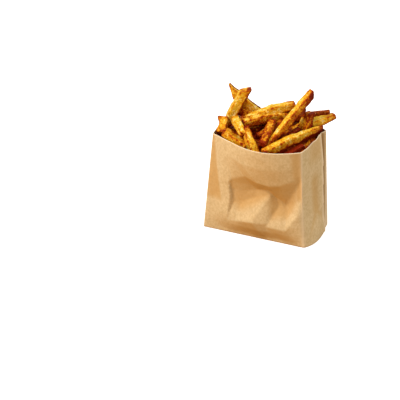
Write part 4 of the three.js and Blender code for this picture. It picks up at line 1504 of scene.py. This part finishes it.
class StageSettings(bpy.types.PropertyGroup):
    azimuth: angle_input(
        "Azimuth", "How far the camera stands round to the bag's right, from its front", 26.1
    )
    elevation: angle_input("Elevation", "How far the camera looks down", 25.9)
    distance: length_input("Distance", "From the camera to the bag", 4.0, 20.0)
    lens: number_input("Lens", "Focal length in millimetres", 360)
    floor_colour: colour_input("Floor", "Pale floor", (0.9, 0.9, 0.9))
    floor_glow: number_input("Floor Glow", "Keeps the floor pale in the shadows", 0.6)
    bounce_colour: colour_input(
        "Bounce", "What the floor throws back at the bag", (0.5, 0.42, 0.34)
    )
    world_strength: number_input("Surroundings", "Brightness of the pale surroundings", 0.35)
    key_power: power_input("Key Light", "Power of the large soft light", 38)
    top_power: power_input("Top Light", "Power of the soft light overhead", 16)
    fill_power: power_input("Fill Light", "Power of the soft light on the right", 10.5)
    warm_power: power_input("Warm Bounce", "Power of the warm light from low in front", 3)


SETTINGS = {
    "fries_bag": PaperBagSettings,
    "fries_heap": FriesSettings,
    "fries_seasoning": SeasoningSettings,
    "fries_stage": StageSettings,
}


# ---- Operators ----


class FRIES_OT_paper_bag(bpy.types.Operator):
    """Builds the creased kraft paper bag"""

    bl_idname = "fries.paper_bag"
    bl_label = "Paper Bag"

    def execute(self, context):
        settings = context.scene.fries_bag
        group = fibre_group()
        materials = [
            kraft_material("bag_outside", group, settings, inside=False),
            kraft_material("bag_inside", group, settings, inside=True),
        ]
        piece = link_object("kraft_bag", paper_bag_parts(settings).mesh("kraft_bag", materials))
        finish_piece(piece, "paper_bag")
        return {"FINISHED"}


def build_fries(name, fries, settings, around, spacing, seed):
    """One piece of many fries, each with rings of so many points, so many millimetres apart."""
    parts = MeshParts("browning", "skin", "tone", "crisp")
    draw = seeded_draw(seed)
    for fry in fries:
        add_fry(parts, fry, around, spacing, draw)
    material = crust_material(settings)
    piece = link_object(name, parts.mesh(name, [material]))
    values = {
        "Wave Height": settings.wave_height,
        "Blister Height": settings.blister_height,
        "Blister Size": settings.blister_size,
        "Seed": seed,
        "Crust Material": material,
    }
    run_geometry(piece, shared_group("Fried Crust", crust_tree), values)
    finish_piece(piece, "fries")


class FRIES_OT_shown_fries(bpy.types.Operator):
    """Builds the fries that stand out of the heap"""

    bl_idname = "fries.shown_fries"
    bl_label = "Shown Fries"

    def execute(self, context):
        fries = [pinned_fry(fry) for fry in SHOWN_FRIES]
        settings = context.scene.fries_heap
        build_fries("shown_fries", fries, settings, around=40, spacing=1.0, seed=5)
        return {"FINISHED"}


FILLER_BROWN_SEED = 31
# shade_in_front is painted shade on the fillers that lie near the front.
FILLER_BROWN_AND_SHADE = dict(least=0.2, spread=0.4, shade_in_front=0.5, tip=0.3)
FRONT_FILLER_SHADE = (20, -30)  # twice the y of a middle, where painted shade on fillers starts and is full
FILLERS_WITH_SKIN = 0.4  # share of all
FILLER_SKIN = (25, 30)  # half a strip's width in degrees: the least, and what a draw adds


def brown_and_shade_filler(filler, draw):
    """Browns a filler at random, darkens it with painted shade the nearer it lies to the front, and
    leaves skin on some.
    """
    shade_in_front = smoothstep(*FRONT_FILLER_SHADE, filler["foot"][1] + filler["tip"][1])
    filler["brown"] = FILLER_BROWN_AND_SHADE["least"] + FILLER_BROWN_AND_SHADE["spread"] * next(draw)
    filler["brown"] += FILLER_BROWN_AND_SHADE["shade_in_front"] * shade_in_front
    filler["tip_brown"] = FILLER_BROWN_AND_SHADE["tip"] * next(draw)
    filler["crisp"] = next(draw)
    if next(draw) < FILLERS_WITH_SKIN:
        least, more = FILLER_SKIN
        filler["skin"] = [(360 * next(draw), least + more * next(draw), 0, 1)]


class FRIES_OT_filler_fries(bpy.types.Operator):
    """Scatters the fries that fill the mouth between them"""

    bl_idname = "fries.filler_fries"
    bl_label = "Filler Fries"

    def execute(self, context):
        settings = context.scene.fries_heap
        fillers = settled_fillers(settings.filler_count)
        draw = seeded_draw(FILLER_BROWN_SEED)
        for filler in fillers:
            brown_and_shade_filler(filler, draw)
        build_fries("filler_fries", fillers, settings, around=32, spacing=1.4, seed=8)
        return {"FINISHED"}


CORE_BOTTOM = PAPER_WALL + FRIES_CLEARANCE
CORE_INSET = CORE_BOTTOM + CORE_SLACK
CORE_ROWS = [2.5, *range(6, round(CORE_SIDE_TOP), 3), CORE_SIDE_TOP]
CORE_COLUMN_STEP = 3  # the core has every third of the bag's columns
DOME_RINGS = (0.9, 0.75, 0.6, 0.45, 0.3, 0.15)  # shares of the side's reach from the middle


def core_outline(z, inwards):
    """The bag's smooth outside at a height, moved inwards."""
    ring = []
    for start_name, end_name, out, columns in PANELS.values():
        start, run, _, outward = panel_line(start_name, end_name, z)
        share = np.arange(0, columns, CORE_COLUMN_STEP) / columns
        ring.append(start + np.outer(share, run) + np.outer(out(share, z), outward))
    ring = np.concatenate(ring)
    return ring + ring_inward(ring) * inwards


def core_parts():
    """A plain fill from the bag's bottom up to a low dome, clear of the paper."""
    parts = MeshParts()

    def level(ring, z):
        return parts.add_points(np.column_stack((ring, np.full(len(ring), z))))

    bottom = core_outline(LOWEST, BOTTOM_ROUNDING + CORE_INSET)
    rings = [level(bottom, CORE_BOTTOM)]
    rings += [level(core_outline(z, CORE_INSET), z) for z in CORE_ROWS]
    side = core_outline(CORE_SIDE_TOP, CORE_INSET)
    for reach in DOME_RINGS:
        rise = (CORE_MIDDLE_TOP - CORE_SIDE_TOP) * (1 - reach * reach)
        rings.append(level(CORE_MIDDLE + (side - CORE_MIDDLE) * reach, CORE_SIDE_TOP + rise))
    parts.stack(rings, len(bottom))
    parts.close(rings[0], len(bottom), (0, 0, CORE_BOTTOM), flip=True)
    parts.close(rings[-1], len(bottom), (*CORE_MIDDLE, CORE_MIDDLE_TOP))
    return parts


class FRIES_OT_heap_core(bpy.types.Operator):
    """Builds the core that the bag holds under the fries, dark as painted shade deep in the heap"""

    bl_idname = "fries.heap_core"
    bl_label = "Heap Core"

    def execute(self, context):
        settings = context.scene.fries_heap
        constants = {"Roughness": 0.6, "Specular IOR Level": 0.2}
        colours = (settings.brown_colour, settings.dark_colour)
        material = plain_crust_material(
            "shaded_crust",
            constants,
            colours,
            browning=0.85,
            patchiness=0.4,
            height=CORE_RELIEF,
        )
        piece = link_object("heap_core", core_parts().mesh("heap_core", [material]))
        finish_piece(piece, "fries")
        return {"FINISHED"}


def strew(name, grain, material, density, largest, seed):
    """One piece of all grains of a kind, strewn over both pieces of fries."""
    work = bmesh.new()
    for source in ("shown_fries", "filler_fries"):
        work.from_mesh(bpy.data.objects[source].data)
    mesh = bpy.data.meshes.new(name)
    work.to_mesh(mesh)
    work.free()
    mesh.materials.clear()
    mesh.materials.append(material)
    piece = link_object(name, mesh)
    values = {
        "Grain": grain,
        "Density": density,
        "Smallest": largest * SMALLEST_GRAIN,
        "Largest": largest,
        "Sunk": largest * GRAIN_SUNK,
        "Seed": seed,
        "Grain Material": material,
    }
    run_geometry(piece, shared_group("Strewn Grains", scatter_tree), values)
    finish_piece(piece, "fries")
    bpy.data.objects.remove(grain)


class FRIES_OT_seasoning(bpy.types.Operator):
    """Strews flakes of seasoning and crumbs over the fries"""

    bl_idname = "fries.seasoning"
    bl_label = "Seasoning and Crumbs"

    def execute(self, context):
        settings = context.scene.fries_seasoning
        heap = context.scene.fries_heap
        spice = (settings.flake_colour, heap.skin_colour)
        crust = (settings.crumb_colour, heap.brown_colour)
        strew(
            "seasoning_flakes",
            grain_object("flake", seed=3, flatness=0.4),
            grain_material("ground_spice", spice, roughness=0.7),
            settings.flakes_per_area,
            settings.flake_size,
            seed=11,
        )
        strew(
            "crust_crumbs",
            grain_object("crumb", seed=4, flatness=0.8),
            grain_material("crust_crumb", crust, roughness=0.5),
            settings.crumbs_per_area,
            settings.crumb_size,
            seed=12,
        )
        return {"FINISHED"}


AIM = Vector((-65.6, 25.8, 0)) * MM  # the view's middle, right and up of the bag's bottom
SENSOR_WIDTH = 36
FAR_LIMIT = 20
LIT_POINT = Vector((0, 0, 0.08))  # which the lights face
FLOOR_HALF = 6.0


def add_camera(settings):
    """Looks at the bag from its front right, and a little down."""
    level = math.cos(settings.elevation)
    aside, ahead = math.sin(settings.azimuth), math.cos(settings.azimuth)
    back = Vector((aside * level, -ahead * level, math.sin(settings.elevation)))
    right = Vector((ahead, aside, 0))
    up = back.cross(right)
    data = bpy.data.cameras.new("camera")
    data.lens = settings.lens
    data.sensor_width = SENSOR_WIDTH
    data.clip_end = FAR_LIMIT
    camera = link_object("camera", data)
    axes = Matrix((right, up, back)).transposed()
    place = back * settings.distance + right * AIM.x + up * AIM.y
    camera.matrix_world = Matrix.Translation(place) @ axes.to_4x4()
    bpy.context.scene.camera = camera


def add_light(name, power, size, place, colour=(1, 1, 1)):
    """A square soft light at place, in metres, that faces the middle of the heap."""
    data = bpy.data.lights.new(name, "AREA")
    data.energy = power
    data.size = size
    data.color = colour
    light = link_object(name, data)
    light.location = place
    light.rotation_euler = (Vector(place) - LIT_POINT).to_track_quat("Z", "Y").to_euler()


def floor_object(settings):
    """A pale floor that stays light in the shadows and throws little light back at the bag."""
    mesh = bpy.data.meshes.new("floor")
    corners = [(x * FLOOR_HALF, y * FLOOR_HALF, 0) for x, y in ((-1, -1), (1, -1), (1, 1), (-1, 1))]
    mesh.from_pydata(corners, [], [(0, 1, 2, 3)])
    material, tree, shader = new_material(
        "floor", {"Roughness": 0.9, "Emission Strength": 1.0, "Specular IOR Level": 0.0}
    )
    seen = add_node(tree, "ShaderNodeLightPath").outputs["Is Camera Ray"]
    glow = [settings.floor_glow] * 3
    finish = {
        "Base Color": blend_colours(tree, seen, settings.bounce_colour, settings.floor_colour),
        "Emission Color": blend_colours(tree, seen, (0, 0, 0), glow),
    }
    set_inputs(tree, shader, finish)
    mesh.materials.append(material)
    return link_object("floor", mesh)


class FRIES_OT_stage(bpy.types.Operator):
    """Sets out the floor, the lights and the camera"""

    bl_idname = "fries.stage"
    bl_label = "Stage"

    def execute(self, context):
        settings = context.scene.fries_stage
        scene = context.scene
        scene.view_settings.view_transform = "Standard"
        world = bpy.data.worlds.new("surroundings")
        world.use_nodes = True
        background = world.node_tree.nodes["Background"]
        light = {"Color": (1, 0.93, 0.82, 1), "Strength": settings.world_strength}
        set_inputs(world.node_tree, background, light)
        scene.world = world
        floor_object(settings)
        add_light("key", settings.key_power, 0.7, (-0.95, -1.2, 1.8))
        add_light("top", settings.top_power, 0.8, (0.4, 0.35, 2.0))
        add_light("fill", settings.fill_power, 1.2, (1.75, 0.25, 0.8), (1, 0.9, 0.8))
        add_light("bounce", settings.warm_power, 0.5, (-0.25, -0.8, 0.12), (1, 0.55, 0.2))
        add_camera(settings)
        return {"FINISHED"}


OPERATORS = [
    FRIES_OT_stage,
    FRIES_OT_paper_bag,
    FRIES_OT_heap_core,
    FRIES_OT_shown_fries,
    FRIES_OT_filler_fries,
    FRIES_OT_seasoning,
]


class FRIES_PT_panel(bpy.types.Panel):
    """Lists the settings and the operators"""

    bl_idname = "FRIES_PT_panel"
    bl_label = "Fries in a Paper Bag"
    bl_space_type = "VIEW_3D"
    bl_region_type = "UI"
    bl_category = "Fries"

    def draw(self, context):
        for operator in OPERATORS:
            self.layout.operator(operator.bl_idname)
        for name, settings_class in SETTINGS.items():
            box = self.layout.box()
            settings = getattr(context.scene, name)
            for key in settings_class.__annotations__:
                box.prop(settings, key)


CLASSES = [*SETTINGS.values(), *OPERATORS, FRIES_PT_panel]


def register():
    for cls in CLASSES:
        bpy.utils.register_class(cls)
    for name, settings_class in SETTINGS.items():
        setattr(bpy.types.Scene, name, PointerProperty(type=settings_class))


def unregister():
    for name in SETTINGS:
        delattr(bpy.types.Scene, name)
    for cls in reversed(CLASSES):
        bpy.utils.unregister_class(cls)


def main():
    register()
    bpy.ops.fries.stage()
    bpy.ops.fries.paper_bag()
    bpy.ops.fries.heap_core()
    bpy.ops.fries.shown_fries()
    bpy.ops.fries.filler_fries()
    bpy.ops.fries.seasoning()


if __name__ == "__main__":
    main()
